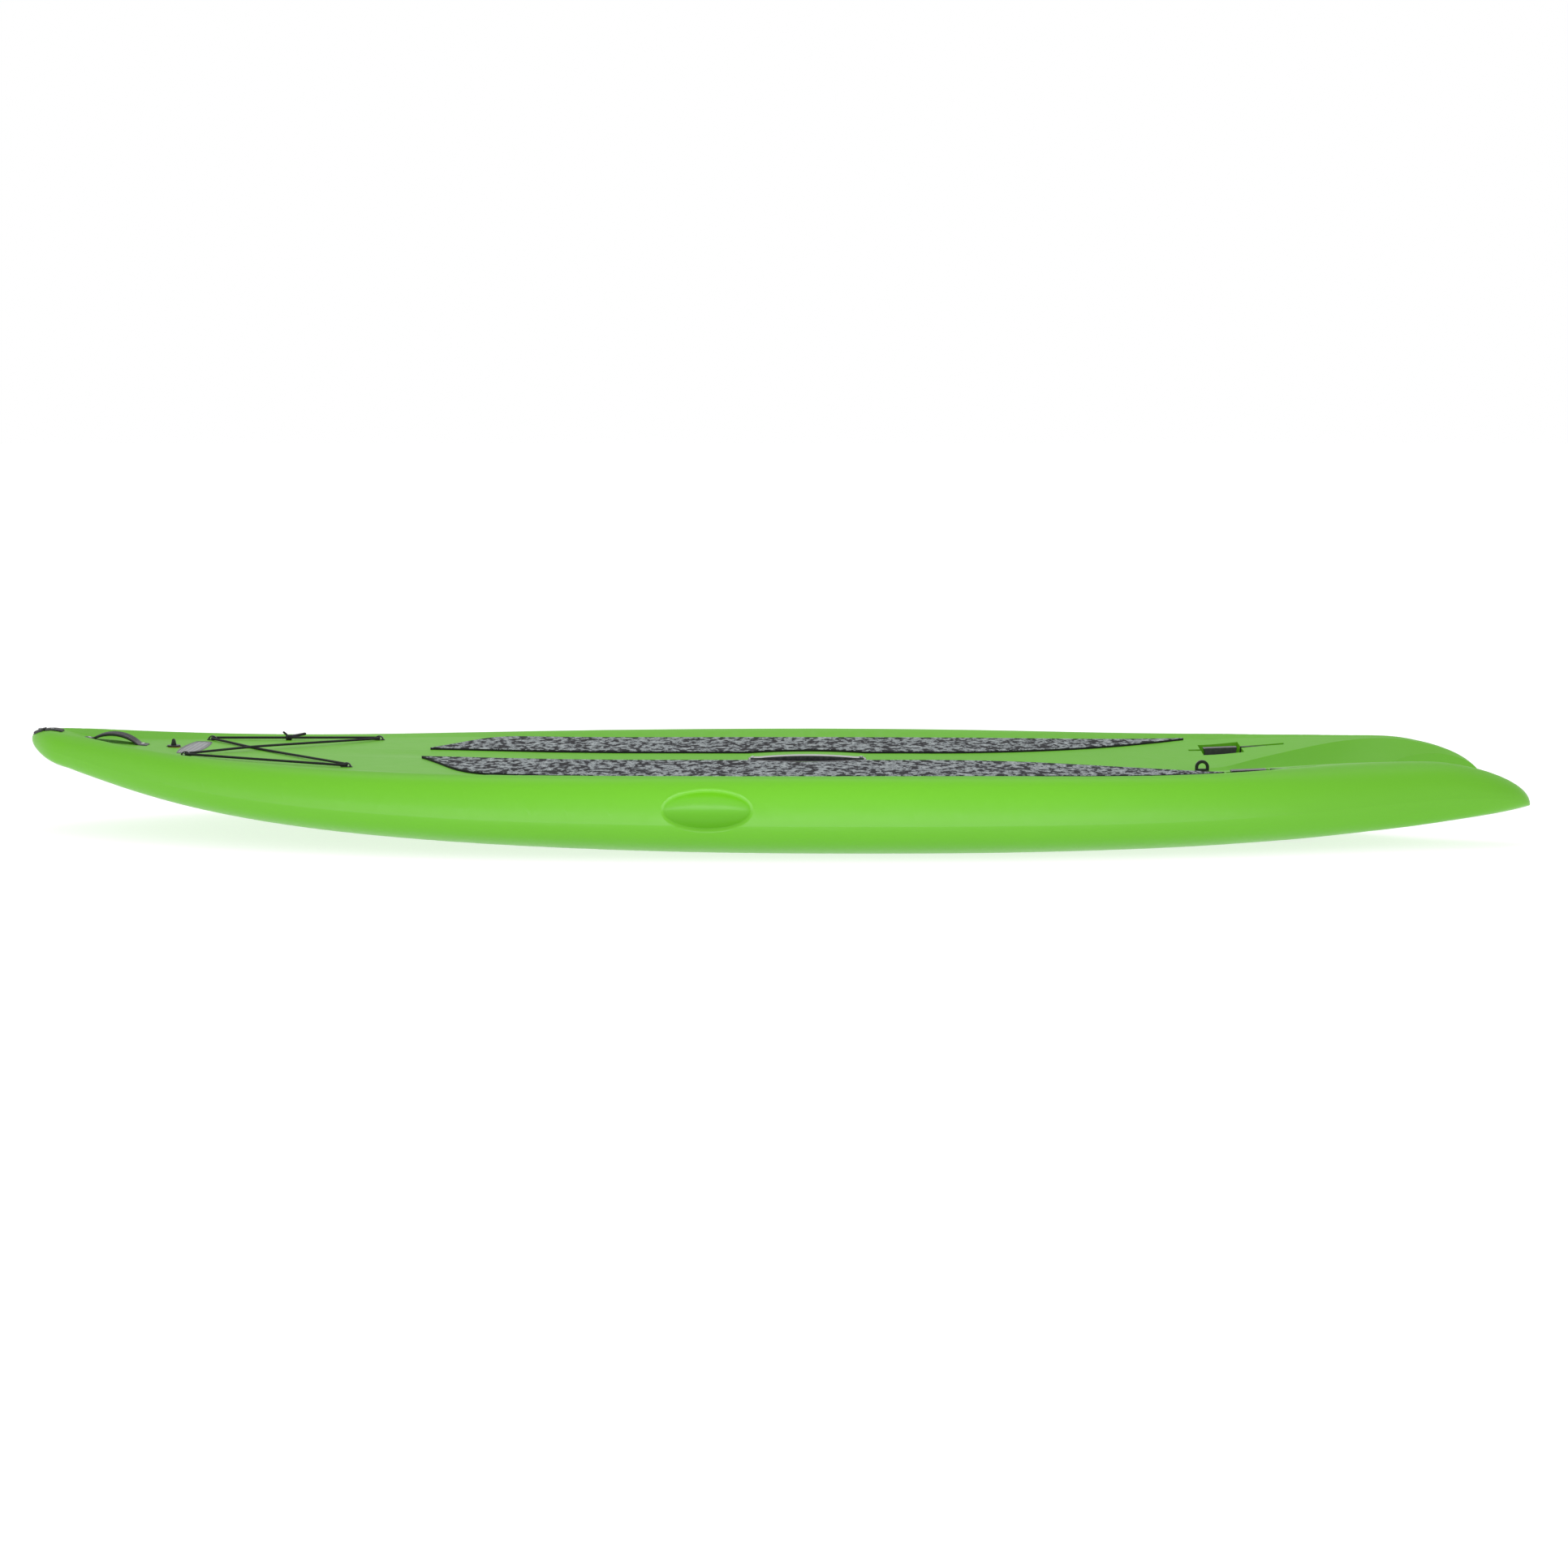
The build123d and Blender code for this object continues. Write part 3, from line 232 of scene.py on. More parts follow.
hull.roughness(hull.math("ADD", hull_uneven, hull.math("MULTIPLY", hull_deck, 2.2)), 0.25, 0.36)
hull_grain = hull.math(
    "ADD",
    hull.noise(1400, 2, 0.6),
    hull.math("MULTIPLY", hull.noise(34, 2, 0.5), 3.0),
)
hull.bump(hull_grain, 0.00005)

camo = Finish("mottled_foam", (0.2, 0.2, 0.22), 0.86, specular=0.25)
camo_wander = camo.node("ShaderNodeTexNoise")
camo_wander.inputs["Scale"].default_value = 70
camo_wander.inputs["Detail"].default_value = 3
camo.link(camo.place, camo_wander, "Vector")
camo_shift = camo.node("ShaderNodeVectorMath", operation="MULTIPLY_ADD")
camo.link(camo_wander.outputs["Color"], camo_shift, 0)
camo_shift.inputs[1].default_value = (0.012, 0.009, 0.0)
camo.link(camo.place, camo_shift, 2)
camo_stretch = camo.node("ShaderNodeMapping")
camo_stretch.inputs["Scale"].default_value = (1.0, 0.5, 0.3)
camo.link(camo_shift.outputs["Vector"], camo_stretch, "Vector")
camo_flecks = camo.noise(80, 2.2, 0.55, place=camo_stretch.outputs["Vector"])
camo_grain = camo.noise(1800, 2, 0.6)
camo_tone = camo.ramp(
    camo_flecks,
    [
        (0.0, (0.009, 0.009, 0.012)),
        (0.44, (0.030, 0.032, 0.038)),
        (0.47, (0.126, 0.139, 0.150)),
        (0.51, (0.325, 0.362, 0.371)),
        (0.58, (0.070, 0.078, 0.086)),
        (0.61, (0.405, 0.446, 0.455)),
    ],
    sharp=True,
)
camo.colour(camo.mix(camo.math("MULTIPLY", camo_grain, 0.22), camo_tone, (0.05, 0.05, 0.06)))
camo.roughness(camo_grain, 0.78, 0.95)
camo.bump(camo.math("ADD", camo_grain, camo.math("MULTIPLY", camo_flecks, 0.6)), 0.00022)
# painted shade: the pads' cut edges get a near-black colour that stands in for the shadow along their rims
camo_edge_shade = moulded("foam_edge_painted_shade", (0.012, 0.012, 0.014), 0.9, grain=2200, depth=0.0002)

rubber = moulded("guard_rubber", (0.010, 0.011, 0.012), 0.52, worn=(0.05, 0.05, 0.055))
strap_vinyl = moulded("strap_vinyl", (0.008, 0.009, 0.010), 0.42, worn=(0.045, 0.046, 0.05))
plastic = moulded("fitting_plastic", (0.010, 0.011, 0.012), 0.38, worn=(0.06, 0.06, 0.065))
gloss = moulded("handle_plastic", (0.006, 0.007, 0.009), 0.16, depth=0.00002, worn=(0.10, 0.10, 0.11))
nylon = moulded("fin_nylon", (0.007, 0.007, 0.008), 0.34, grain=1500, worn=(0.04, 0.04, 0.045))
gasket = moulded("gasket_silicone", (0.42, 0.030, 0.010), 0.55, worn=(0.55, 0.09, 0.04))

steel = Finish("screw_steel", (0.50, 0.51, 0.53), 0.24, metallic=1.0)
steel.colour(steel.mix(steel.noise(600, 3, 0.6), (0.40, 0.41, 0.43), (0.60, 0.61, 0.62)))
steel.roughness(steel.noise(900, 3, 0.6), 0.18, 0.36)
steel.bump(steel.noise(2500, 2, 0.5), 0.00002)

brass = Finish("insert_brass", (0.60, 0.42, 0.15), 0.3, metallic=1.0)
brass.colour(brass.mix(brass.noise(500, 3, 0.6), (0.50, 0.34, 0.11), (0.66, 0.47, 0.18)))
brass.roughness(brass.noise(700, 3, 0.6), 0.24, 0.42)
brass.bump(brass.noise(2400, 2, 0.5), 0.00002)

badge = Finish("badge_face", (0.30, 0.32, 0.33), 0.42)
badge_lines = badge.node("ShaderNodeTexWave", wave_type="BANDS", bands_direction="X")
badge_lines.inputs["Scale"].default_value = 34
badge_lines.inputs["Distortion"].default_value = 1.2
badge_lines.inputs["Detail"].default_value = 2
badge.link(badge.place, badge_lines, "Vector")
badge_tone = badge.ramp(badge_lines.outputs["Fac"], [(0.25, (0.20, 0.21, 0.22)), (0.8, (0.36, 0.38, 0.39))])
badge_brush = badge.noise(240, 4, 0.7, place=badge.stretched((1, 0.06, 1)))
badge.colour(badge.mix(badge.math("MULTIPLY", badge_brush, 0.6), badge_tone, (0.12, 0.125, 0.13)))
badge.roughness(badge_brush, 0.34, 0.52)
badge.bump(badge_brush, 0.00005)

cord = Finish("braided_sleeve", (0.008, 0.008, 0.010), 0.62, specular=0.35)
cord_uv = cord.node("ShaderNodeUVMap")
cord_braid = []
for lean in (1, -1):
    cord_map = cord.node("ShaderNodeMapping")
    cord_map.inputs["Rotation"].default_value = (0, 0, lean * radians(42))
    cord.link(cord_uv.outputs["UV"], cord_map, "Vector")
    strand = cord.node("ShaderNodeTexWave", wave_type="BANDS", bands_direction="X")
    strand.inputs["Scale"].default_value = 160
    cord.link(cord_map.outputs["Vector"], strand, "Vector")
    cord_braid.append(strand.outputs["Fac"])
cord_height = cord.math("MAXIMUM", *cord_braid)
# painted shade in the braid: the colour is darker down between the strands and lighter on their crowns
cord.colour(cord.ramp(cord_height, [(0.45, (0.003, 0.003, 0.004)), (0.95, (0.020, 0.020, 0.023))]))
cord.roughness(cord_height, 0.78, 0.55)
cord.bump(cord_height, 0.00035)


def paint(obj, *finishes):
    obj.data.materials.clear()
    for finish in finishes:
        obj.data.materials.append(finish.material)


LOOKS = {
    "hull_shell": hull,
    "nose_guard": rubber,
    "nose_guard_strip": rubber,
    "drain_socket": plastic,
    "drain_plug": plastic,
    "drain_gasket": gasket,
    "badge_plate": badge,
    "pad_eye_inserts": brass,
    "leash_insert": brass,
    "leash_ring": plastic,
    "centre_handle_bezel": gloss,
    "centre_handle_grip": gloss,
}
for name, obj in nodes.items():
    look = LOOKS.get(name)
    if look is None:
        if "fin_blade" in name:
            look = nylon
        elif "pin" in name or "screws" in name:
            look = steel
        else:
            look = plastic
    paint(obj, look)


# ---------------------------------------------------------------- mesh helpers


def piece(name, vertices, faces, finishes, body, smooth=True):
    """New piece from vertices and faces, riding on a body."""
    mesh = bpy.data.meshes.new(name)
    mesh.from_pydata([tuple(v) for v in vertices], [], faces)
    mesh.validate()
    made = bpy.data.objects.new(name, mesh)
    scene.collection.objects.link(made)
    work = bmesh.new()
    work.from_mesh(mesh)
    bmesh.ops.remove_doubles(work, verts=work.verts, dist=1e-7)
    bmesh.ops.recalc_face_normals(work, faces=work.faces)
    work.to_mesh(mesh)
    work.free()
    for polygon in mesh.polygons:
        polygon.use_smooth = smooth
    paint(made, *finishes)
    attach(made, body)
    return made


def grid_faces(rows, columns, closed_columns=False):
    faces = []
    for i in range(rows - 1):
        for j in range(columns if closed_columns else columns - 1):
            k = (j + 1) % columns
            faces.append((i * columns + j, i * columns + k, (i + 1) * columns + k, (i + 1) * columns + j))
    return faces


def mesh_tree(name):
    work = bmesh.new()
    work.from_mesh(nodes[name].data)
    tree = BVHTree.FromBMesh(work)
    work.free()
    return tree


def height_on(tree, x, y, above=0.4):
    """Height of a node's top at x and y, or None beside it."""
    hit = tree.ray_cast(Vector((x, y, above)), Vector((0, 0, -1)))[0]
    return None if hit is None else hit.z


# ---------------------------------------------------------------- shock cord

CORD_R = 0.0025
eye_boxes = {
    name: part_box(f"pad_eye_{name}") for name in ("front_left", "front_right", "rear_left", "rear_right")
}


def by_eye(name, side, aft):
    """Cord's point beside an eye: side is 1 to starboard, and aft how far aft of its middle."""
    low, high = eye_boxes[name]
    middle = (low + high) / 2
    return Vector((middle.x + aft, middle.y + 0.007 * side, high.z - 0.0053))


def along(start, end, distance, lift=0.0):
    """Point at a distance from start on the way to end, lifted."""
    return start + (end - start).normalized() * distance + Vector((0, 0, lift))


rear_right_out = by_eye("rear_right", 1, -0.0025)
rear_right_in = by_eye("rear_right", -1, 0.0025)
front_left_in = by_eye("front_left", 1, -0.0025)
front_left_out = by_eye("front_left", -1, 0.0025)
rear_left_out = by_eye("rear_left", -1, -0.0025)
rear_left_in = by_eye("rear_left", 1, 0.0025)
front_right_in = by_eye("front_right", -1, -0.0025)
front_right_out = by_eye("front_right", 1, 0.0025)

KNOT_X = -1.026
knot_share = (KNOT_X - rear_right_out.x) / (front_right_out.x - rear_right_out.x)
knot = rear_right_out.lerp(front_right_out, knot_share)
knot_way = (front_right_out - rear_right_out).normalized()


def diagonal(start, end, lift):
    """Points of a diagonal run: near its two eyes, and a pair at the top of its crossing."""
    share = start.y / (start.y - end.y)
    crossing = (end - start).length * share
    return [
        along(start, end, 0.03),
        along(start, end, crossing - 0.03, lift),
        along(start, end, crossing + 0.03, lift),
        along(end, start, 0.03),
    ]


cord_route = [
    knot,
    knot.lerp(rear_right_out, 0.5),
    along(rear_right_out, knot, 0.03),
    rear_right_out,
    rear_right_in,
    *diagonal(rear_right_in, front_left_in, 0.0028),
    front_left_in,
    front_left_out,
    along(front_left_out, rear_left_out, 0.03),
    along(rear_left_out, front_left_out, 0.03),
    rear_left_out,
    rear_left_in,
    *diagonal(rear_left_in, front_right_in, -0.0028),
    front_right_in,
    front_right_out,
    along(front_right_out, knot, 0.03),
    knot.lerp(front_right_out, 0.5),
    knot,
]


def smooth_line(points, resolution=10):
    """Points along one smooth curve that has the given points as its control points."""
    data = bpy.data.curves.new("route", "CURVE")
    data.dimensions = "3D"
    spline = data.splines.new("NURBS")
    spline.points.add(len(points) - 1)
    for target, point in zip(spline.points, points):
        target.co = (*point, 1)
    spline.order_u = 3
    spline.use_endpoint_u = True
    spline.resolution_u = resolution
    holder = bpy.data.objects.new("route", data)
    mesh = bpy.data.meshes.new_from_object(holder)
    line = [v.co.copy() for v in mesh.vertices]
    bpy.data.objects.remove(holder)
    bpy.data.meshes.remove(mesh)
    return line


def tube(name, points, radius, finish, body, sides=14, resolution=10, round_ends=True):
    """Sleeved tube along a smooth line, with its length and girth in its UV map, in metres."""
    line = smooth_line(points, resolution)
    ways = [
        (line[min(i + 1, len(line) - 1)] - line[max(i - 1, 0)]).normalized() for i in range(len(line))
    ]
    across = ways[0].orthogonal().normalized()
    radius_of = radius if callable(radius) else lambda share: radius
    rings = []
    run = [0.0]
    for i in range(1, len(line)):
        run.append(run[-1] + (line[i] - line[i - 1]).length)
    for i, (point, way) in enumerate(zip(line, ways)):
        across = (across - way * across.dot(way)).normalized()
        up = way.cross(across)
        r = radius_of(run[i] / run[-1])
        rings.append((point, across.copy(), up, r, run[i]))
    if round_ends:
        first, last = rings[0], rings[-1]
        for shrink, push in ((0.75, 0.6), (0.3, 0.9)):
            rings.insert(0, (first[0] - ways[0] * first[3] * push, first[1], first[2], first[3] * shrink, 0.0))
            rings.append((last[0] + ways[-1] * last[3] * push, last[1], last[2], last[3] * shrink, run[-1]))
    vertices = []
    for point, a, b, r, _ in rings:
        for j in range(sides):
            turn = 2 * pi * j / sides
            vertices.append(point + (a * cos(turn) + b * sin(turn)) * r)
    faces = grid_faces(len(rings), sides, closed_columns=True)
    faces.append(tuple(range(sides - 1, -1, -1)))
    faces.append(tuple(range((len(rings) - 1) * sides, len(rings) * sides)))
    mesh = bpy.data.meshes.new(name)
    mesh.from_pydata([tuple(v) for v in vertices], [], faces)
    made = bpy.data.objects.new(name, mesh)
    scene.collection.objects.link(made)
    uv = mesh.uv_layers.new(name="UVMap")
    for polygon in mesh.polygons:
        polygon.use_smooth = True
        for loop in polygon.loop_indices:
            index = mesh.loops[loop].vertex_index
            ring, column = divmod(index, sides)
            if column == 0 and any(mesh.loops[k].vertex_index % sides == sides - 1 for k in polygon.loop_indices):
                column = sides
            uv.data[loop].uv = (rings[ring][4], column / sides * 2 * pi * CORD_R)
    paint(made, finish)
    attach(made, body)
    return made


sleeve = tube("shock_cord_sleeve", cord_route, CORD_R, cord, "board")
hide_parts("shock_cord")

knot_side = knot_way.cross(Vector((0, 0, 1))).normalized()
knot_up = knot_side.cross(knot_way)


def knot_point(run, angle, reach):
    """Point round the knot: run along the cord, angle round it and reach out from it."""
    return knot + knot_way * run + (knot_side * cos(angle) + knot_up * sin(angle)) * reach


TURNS = 2.75
STEPS = 22
wrap = []
for i in range(STEPS + 1):
    share = i / STEPS
    wrap.append(knot_point(-0.0052 + 0.0104 * share, 0.4 + 2 * pi * TURNS * share, 0.0043))
aft = Vector((0.8, 0.58, 0.1)).normalized()
forward = Vector((-0.72, 0.3, 0.5)).normalized()
tail_start = knot + Vector((0, 0.0015, 0.0016))
knot_route = [
    tail_start + aft * 0.012,
    tail_start + aft * 0.006,
    *wrap,
    tail_start + forward * 0.007,
    tail_start + forward * 0.012,
    tail_start + forward * 0.0165,
]
knot_wrap = tube("shock_cord_knot", knot_route, 0.0023, cord, "board")
tail_sleeve = tube(
    "shock_cord_tail",
    [tail_start + aft * 0.002, tail_start + aft * 0.012, tail_start + aft * 0.026, tail_start + aft * 0.037],
    lambda share: 0.0026 + 0.0005 * min(1, share * 4),
    rubber,
    "board",
    sides=20,
)
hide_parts("cord_knot")


# ---------------------------------------------------------------- foam deck pads

PAD_THICKNESS = 0.005
PAD_ROUND = 0.0016
PAD_ROWS = 260
PAD_COLUMNS = 18


def cut_at(edges, x):
    """Points where a mesh's edges cross the plane at x."""
    found = []
    for a, b in edges:
        if (a.x - x) * (b.x - x) < 0:
            found.append(a.lerp(b, (x - a.x) / (b.x - a.x)))
    return found


def pad_profile(width):
    """Steps across a pad from one cut edge to the other: (distance in, drop below the top)."""
    rounding = min(PAD_ROUND, 0.45 * width)
    edge = [(0.0, PAD_THICKNESS), (0.0, rounding)]
    for k in (1, 2, 3):
        turn = pi / 2 * k / 3
        edge.append((rounding * (1 - cos(turn)), rounding * (1 - sin(turn))))
    inner = []
    for j in range(1, PAD_COLUMNS):
        share = j / PAD_COLUMNS
        inner.append((rounding + (width - 2 * rounding) * share, 0.0))
    return [*edge, *inner, *[(width - inset, drop) for inset, drop in reversed(edge)]]


def deck_pad(name, node):
    """Foam sheet with rounded cut edges that lies where the CAD pad lies."""
    data = nodes[node].data
    edges = [(data.vertices[e.vertices[0]].co, data.vertices[e.vertices[1]].co) for e in data.edges]
    tree = mesh_tree(node)
    low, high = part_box(node)
    length = high.x - low.x
    vertices = []
    columns = 0
    rows = 0
    for i in range(PAD_ROWS + 1):
        share = i / PAD_ROWS
        eased = 0.6 * share + 0.4 * (0.5 - 0.5 * cos(pi * share))
        x = low.x + 0.0008 + (length - 0.0016) * eased
        crossing = cut_at(edges, x)
        if len(crossing) < 2:
            continue
        y_low = min(p.y for p in crossing)
        y_high = max(p.y for p in crossing)
        width = y_high - y_low
        profile = pad_profile(width)
        columns = len(profile)
        rows += 1
        for inset, drop in profile:
            y = min(max(y_low + inset, y_low + 0.0002), y_high - 0.0002)
            top = height_on(tree, x, y)
            if top is None:
                top = max(p.z for p in crossing)
            vertices.append(Vector((x, y_low + inset, top - drop)))
    faces = grid_faces(rows, columns, closed_columns=True)
    faces.append(tuple(range(columns)))
    faces.append(tuple(range((rows - 1) * columns, rows * columns)))
    made = piece(name, vertices, faces, (camo, camo_edge_shade), "board")
    for polygon in made.data.polygons:
        # faces turned sideways (normal z 0.55 or less) take the near-black painted-shade edge material
        polygon.material_index = 0 if polygon.normal.z > 0.55 else 1
    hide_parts(node)
    return made


deck_pad("port_foam_pad", "left_deck_pad")
deck_pad("starboard_foam_pad", "right_deck_pad")


# ---------------------------------------------------------------- bow handle strap

STRAP_HALF = 0.0665
STRAP_TAB = 0.0495
STRAP_TAB_THICKNESS = 0.0035
STRAP_RISE = 0.021
STRAP_THICKNESS = 0.0065
STRAP_HALF_WIDTH = 0.019

strap_tree = mesh_tree("bow_handle")
strap_low, strap_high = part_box("bow_handle")
strap_x = (strap_low.x + strap_high.x) / 2
strap_ends = []
for offset in (-0.060, 0.060):
    x = strap_x + offset
    strap_ends.append(Vector((x, 0, height_on(strap_tree, x, 0.014))))
strap_way = (strap_ends[1] - strap_ends[0]).normalized()
strap_normal = strap_way.cross(Vector((0, 1, 0))).normalized()
if strap_normal.z < 0:
    strap_normal = -strap_normal
strap_origin = (strap_ends[0] + strap_ends[1]) / 2 - strap_normal * STRAP_TAB_THICKNESS


def arch(u, half, low, rise):
    """Height at u of the circle's arc over a span of 2 half, from low to rise in the middle."""
    sagitta = rise - low
    radius = (half * half + sagitta * sagitta) / (2 * sagitta)
    return rise - radius + sqrt(max(0.0, radius * radius - u * u))


def strap_section(u):
    """Top, bottom and half width of the strap at u."""
    top = STRAP_TAB_THICKNESS
    bottom = 0.0
    if abs(u) < STRAP_TAB:
        top = arch(u, STRAP_TAB, STRAP_TAB_THICKNESS, STRAP_RISE)
    if abs(u) < STRAP_TAB - 0.003:
        bottom = arch(u, STRAP_TAB - 0.003, 0.0, STRAP_RISE - STRAP_THICKNESS)
    corner = 0.006
    over = max(0.0, abs(u) - (STRAP_HALF - corner))
    return top, bottom, STRAP_HALF_WIDTH - corner + sqrt(max(0.0, corner**2 - over**2))


STRAP_RIBS = 5
strap_vertices = []
strap_rows = 97
for i in range(strap_rows):
    share = i / (strap_rows - 1)
    u = STRAP_HALF * (1 - 2 * share)
    top, bottom, half_width = strap_section(u)
    rounding = min(0.0016, (top - bottom) * 0.45)
    ring = []
    for j in range(41):
        v = -1 + 2 * j / 40
        edge = max(0.0, abs(v) * half_width - (half_width - rounding))
        drop = rounding - sqrt(max(0.0, rounding**2 - edge**2))
        raised = max(0.0, min(1.0, (STRAP_TAB - 0.004 - abs(u)) / 0.006))
        inside = 1.0 if abs(v) < 0.80 else max(0.0, 1 - (abs(v) - 0.80) / 0.06)
        groove = 0.0006 * raised * inside * (0.5 + 0.5 * cos(pi * STRAP_RIBS * v * 2)) ** 3
        ring.append((v * half_width, top - drop - groove))
    for j in range(40, -1, -4):
        v = -1 + 2 * j / 40
        edge = max(0.0, abs(v) * half_width - (half_width - rounding))
        drop = rounding - sqrt(max(0.0, rounding**2 - edge**2))
        ring.append((v * half_width, bottom + drop))
    strap_columns = len(ring)
    for y, z in ring:
        strap_vertices.append(strap_origin + strap_way * u + Vector((0, y, 0)) + strap_normal * z)
strap_faces = grid_faces(strap_rows, strap_columns, closed_columns=True)
strap_faces.append(tuple(range(strap_columns)))
strap_faces.append(tuple(range((strap_rows - 1) * strap_columns, strap_rows * strap_columns)))
strap = piece("bow_strap", strap_vertices, strap_faces, (strap_vinyl,), "board")
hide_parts("bow_handle")


# ---------------------------------------------------------------- screws

SCREW_R = 0.0042
SCREW_HEAD = 0.0022
SCREW_SHANK_R = 0.0021
SCREW_LENGTH = 0.014


def screw_mesh():
    """Pan-head screw without its drive recess, which cut_screw cuts; its head sits on z = 0."""
    profile = [(0.0, SCREW_HEAD), (0.0018, SCREW_HEAD - 0.00006), (0.0030, SCREW_HEAD - 0.0003)]
    profile += [(0.0038, SCREW_HEAD - 0.0008), (SCREW_R, SCREW_HEAD - 0.0016), (SCREW_R, 0.0)]
    profile += [(SCREW_SHANK_R, 0.0), (SCREW_SHANK_R, -SCREW_LENGTH + 0.003), (0.0, -SCREW_LENGTH)]
    sides = 32
    work = bmesh.new()
    rings = []
    for r, z in profile:
        if r == 0:
            rings.append([work.verts.new((0, 0, z))])
        else:
            rings.append(
                [work.verts.new((r * cos(2 * pi * k / sides), r * sin(2 * pi * k / sides), z)) for k in range(sides)]
            )
    for first, second in zip(rings, rings[1:]):
        for k in range(sides):
            n = (k + 1) % sides
            corners = [first[k % len(first)], first[n % len(first)], second[n % len(second)], second[k % len(second)]]
            work.faces.new(list(dict.fromkeys(corners)))
    bmesh.ops.recalc_face_normals(work, faces=work.faces)
    mesh = bpy.data.meshes.new("screw")
    work.to_mesh(mesh)
    work.free()
    return mesh


def recess_mesh():
    """Tapered cross that cuts the drive recess."""
    work = bmesh.new()
    for turn in (0, pi / 2):
        corners = []
        for z, half_long, half_wide in ((SCREW_HEAD - 0.0013, 0.0009, 0.00035), (SCREW_HEAD + 0.0005, 0.0024, 0.0006)):
            for sx, sy in ((-1, -1), (1, -1), (1, 1), (-1, 1)):
                point = Vector((sx * half_long, sy * half_wide, z))
                corners.append(work.verts.new(Matrix.Rotation(turn, 3, "Z") @ point))
        work.faces.new(corners[3::-1])
        work.faces.new(corners[4:])
        for k in range(4):
            n = (k + 1) % 4
            work.faces.new((corners[k], corners[n], corners[4 + n], corners[4 + k]))
    mesh = bpy.data.meshes.new("recess")
    work.to_mesh(mesh)
    work.free()
    return mesh


def cut_screw():
    head = bpy.data.objects.new("screw", screw_mesh())
    cutter = bpy.data.objects.new("recess", recess_mesh())
    scene.collection.objects.link(head)
    scene.collection.objects.link(cutter)
    cut = head.modifiers.new("recess", "BOOLEAN")
    cut.operation = "DIFFERENCE"
    cut.solver = "EXACT"
    cut.use_self = True
    cut.object = cutter
    bpy.context.view_layer.update()
    done = bpy.data.meshes.new_from_object(head.evaluated_get(bpy.context.evaluated_depsgraph_get()))
    bpy.data.objects.remove(head)
    bpy.data.objects.remove(cutter)
    return done


def loose_parts(node):
    """Vertex positions of each separate solid in a CAD node."""
    work = bmesh.new()
    work.from_mesh(nodes[node].data)
    bmesh.ops.remove_doubles(work, verts=work.verts, dist=1e-6)
    left = set(work.verts)
    parts = []
    while left:
        stack = [left.pop()]
        part = []
        while stack:
            vertex = stack.pop()
            part.append(vertex.co.copy())
            for edge in vertex.link_edges:
                other = edge.other_vert(vertex)
                if other in left:
                    left.remove(other)
                    stack.append(other)
        parts.append(part)
    work.free()
    return parts


def screw_place(points):
    """Matrix that puts a screw where the CAD screw is: origin under its head, +Z out of the head."""
    far = max(((a - b).length, a, b) for a in points[::7] for b in points[::11])
    axis = (far[1] - far[2]).normalized()
    for _ in range(6):
        middle = sum(points, Vector()) / len(points)
        runs = [(p - middle).dot(axis) for p in points]
        low, high = min(runs), max(runs)
        top = [p for p, r in zip(points, runs) if r > high - 0.0002]
        foot = [p for p, r in zip(points, runs) if r < low + 0.0002]
        axis = (sum(top, Vector()) / len(top) - sum(foot, Vector()) / len(foot)).normalized()
    if axis.z < 0:
        axis = -axis
        top = foot
    runs = [p.dot(axis) for p in points]
    line = sum(top, Vector()) / len(top)
    seat = line + axis * (max(runs) - SCREW_HEAD - line.dot(axis))
    turn = axis.to_track_quat("Z", "Y").to_matrix().to_4x4()
    return Matrix.Translation(seat) @ turn


screw_master = cut_screw()
SCREW_NODES = {
    "nose_guard_screws": "board",
    "bow_handle_screws": "board",
    "centre_handle_screws": "board",
    "left_fin_bracket_screws": "board",
    "right_fin_bracket_screws": "board",
}
for node, body in SCREW_NODES.items():
    work = bmesh.new()
    for count, points in enumerate(loose_parts(node)):
        place = screw_place(points) @ Matrix.Rotation(0.5 + 1.1 * count, 4, "Z")
        one = screw_master.copy()
        one.transform(place)
        work.from_mesh(one)
        bpy.data.meshes.remove(one)
    mesh = bpy.data.meshes.new(node + "_cross_recessed")
    work.to_mesh(mesh)
    work.free()
    made = bpy.data.objects.new(node + "_cross_recessed", mesh)
    scene.collection.objects.link(made)
    paint(made, steel)
    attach(made, body)
    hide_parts(node)


# ---------------------------------------------------------------- badge border

badge_low, badge_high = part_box("badge_plate")
badge_tree = mesh_tree("badge_plate")
badge_middle = (badge_low + badge_high) / 2
badge_fore = height_on(badge_tree, badge_middle.x - 0.012, badge_middle.y)
badge_aft = height_on(badge_tree, badge_middle.x + 0.012, badge_middle.y)
badge_slope = (badge_aft - badge_fore) / 0.024


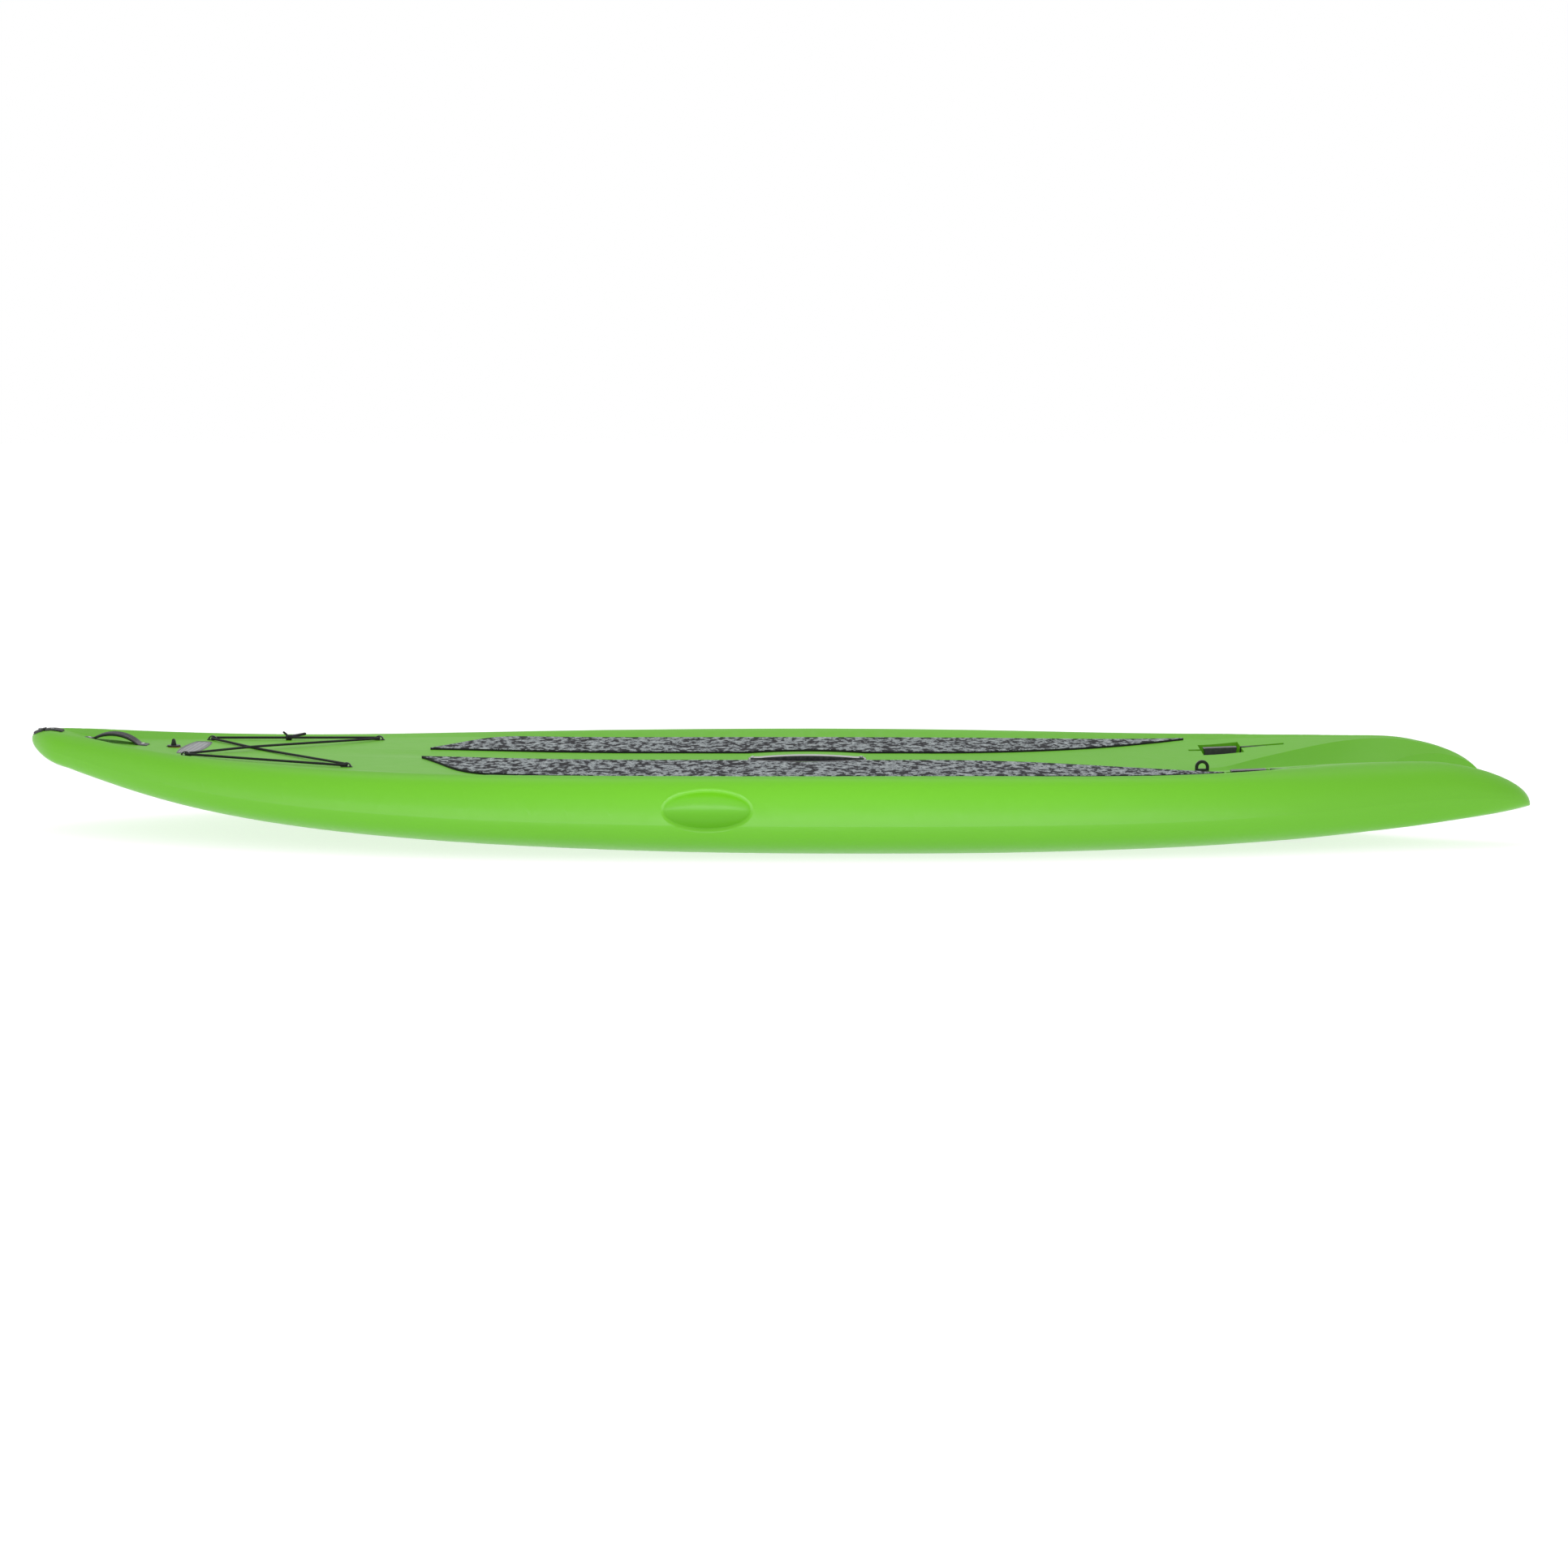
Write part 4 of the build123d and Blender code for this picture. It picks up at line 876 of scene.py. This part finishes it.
def badge_outline(inset, count=24):
    """Outline of the badge in plan: long lens with blunt ends, drawn inset."""
    half_x, half_y, end_x = 0.025 - inset, 0.100 - inset * 1.05, 0.017 - inset * 0.8
    points = []
    for k in range(count + 1):
        y = -half_y + 2 * half_y * k / count
        points.append((end_x + (half_x - end_x) * (1 - (y / half_y) ** 2), y))
    for k in range(1, 12):
        x = end_x - 2 * end_x * k / 12
        points.append((x, half_y + (0.005 - inset * 0.05) * (1 - (x / end_x) ** 2)))
    points += [(-x, y) for x, y in reversed(points[: count + 1])]
    for k in range(1, 12):
        x = -end_x + 2 * end_x * k / 12
        points.append((x, -half_y - (0.005 - inset * 0.05) * (1 - (x / end_x) ** 2)))
    return points


def badge_ring(name, outer, inner, rise, finish):
    """Raised line round the badge, between two insets."""
    vertices = []
    outlines = [badge_outline(outer), badge_outline(outer + 0.0002), badge_outline(inner - 0.0002), badge_outline(inner)]
    columns = len(outlines[0])
    for outline, lift in zip(outlines, (0.0, rise, rise, 0.0)):
        for x, y in outline:
            z = (badge_fore + badge_aft) / 2 + badge_slope * x + lift
            vertices.append(Vector((badge_middle.x + x, badge_middle.y + y, z)))
    faces = grid_faces(4, columns, closed_columns=True)
    return piece(name, vertices, faces, (finish,), "board", smooth=False)


badge_ring("badge_border", 0.0006, 0.0042, 0.0004, plastic)
badge_ring("badge_inner_line", 0.0068, 0.0078, 0.00025, plastic)


# ---------------------------------------------------------------- floor

floor_finish = Finish("studio_floor", (0.46, 0.46, 0.46), 0.9, specular=0.0)
floor_finish.colour(floor_finish.mix(floor_finish.noise(3, 3, 0.5), (0.45, 0.45, 0.45), (0.47, 0.47, 0.47)))
floor_finish.shader.inputs["Emission Color"].default_value = (1, 1, 1, 1)
floor_finish.shader.inputs["Emission Strength"].default_value = 0.72
floor_mesh = bpy.data.meshes.new("studio_floor")
floor_mesh.from_pydata([(-60, -60, 0), (60, -60, 0), (60, 60, 0), (-60, 60, 0)], [], [(0, 1, 2, 3)])
floor = bpy.data.objects.new("studio_floor", floor_mesh)
floor.location.z = -0.0005
scene.collection.objects.link(floor)
paint(floor, floor_finish)
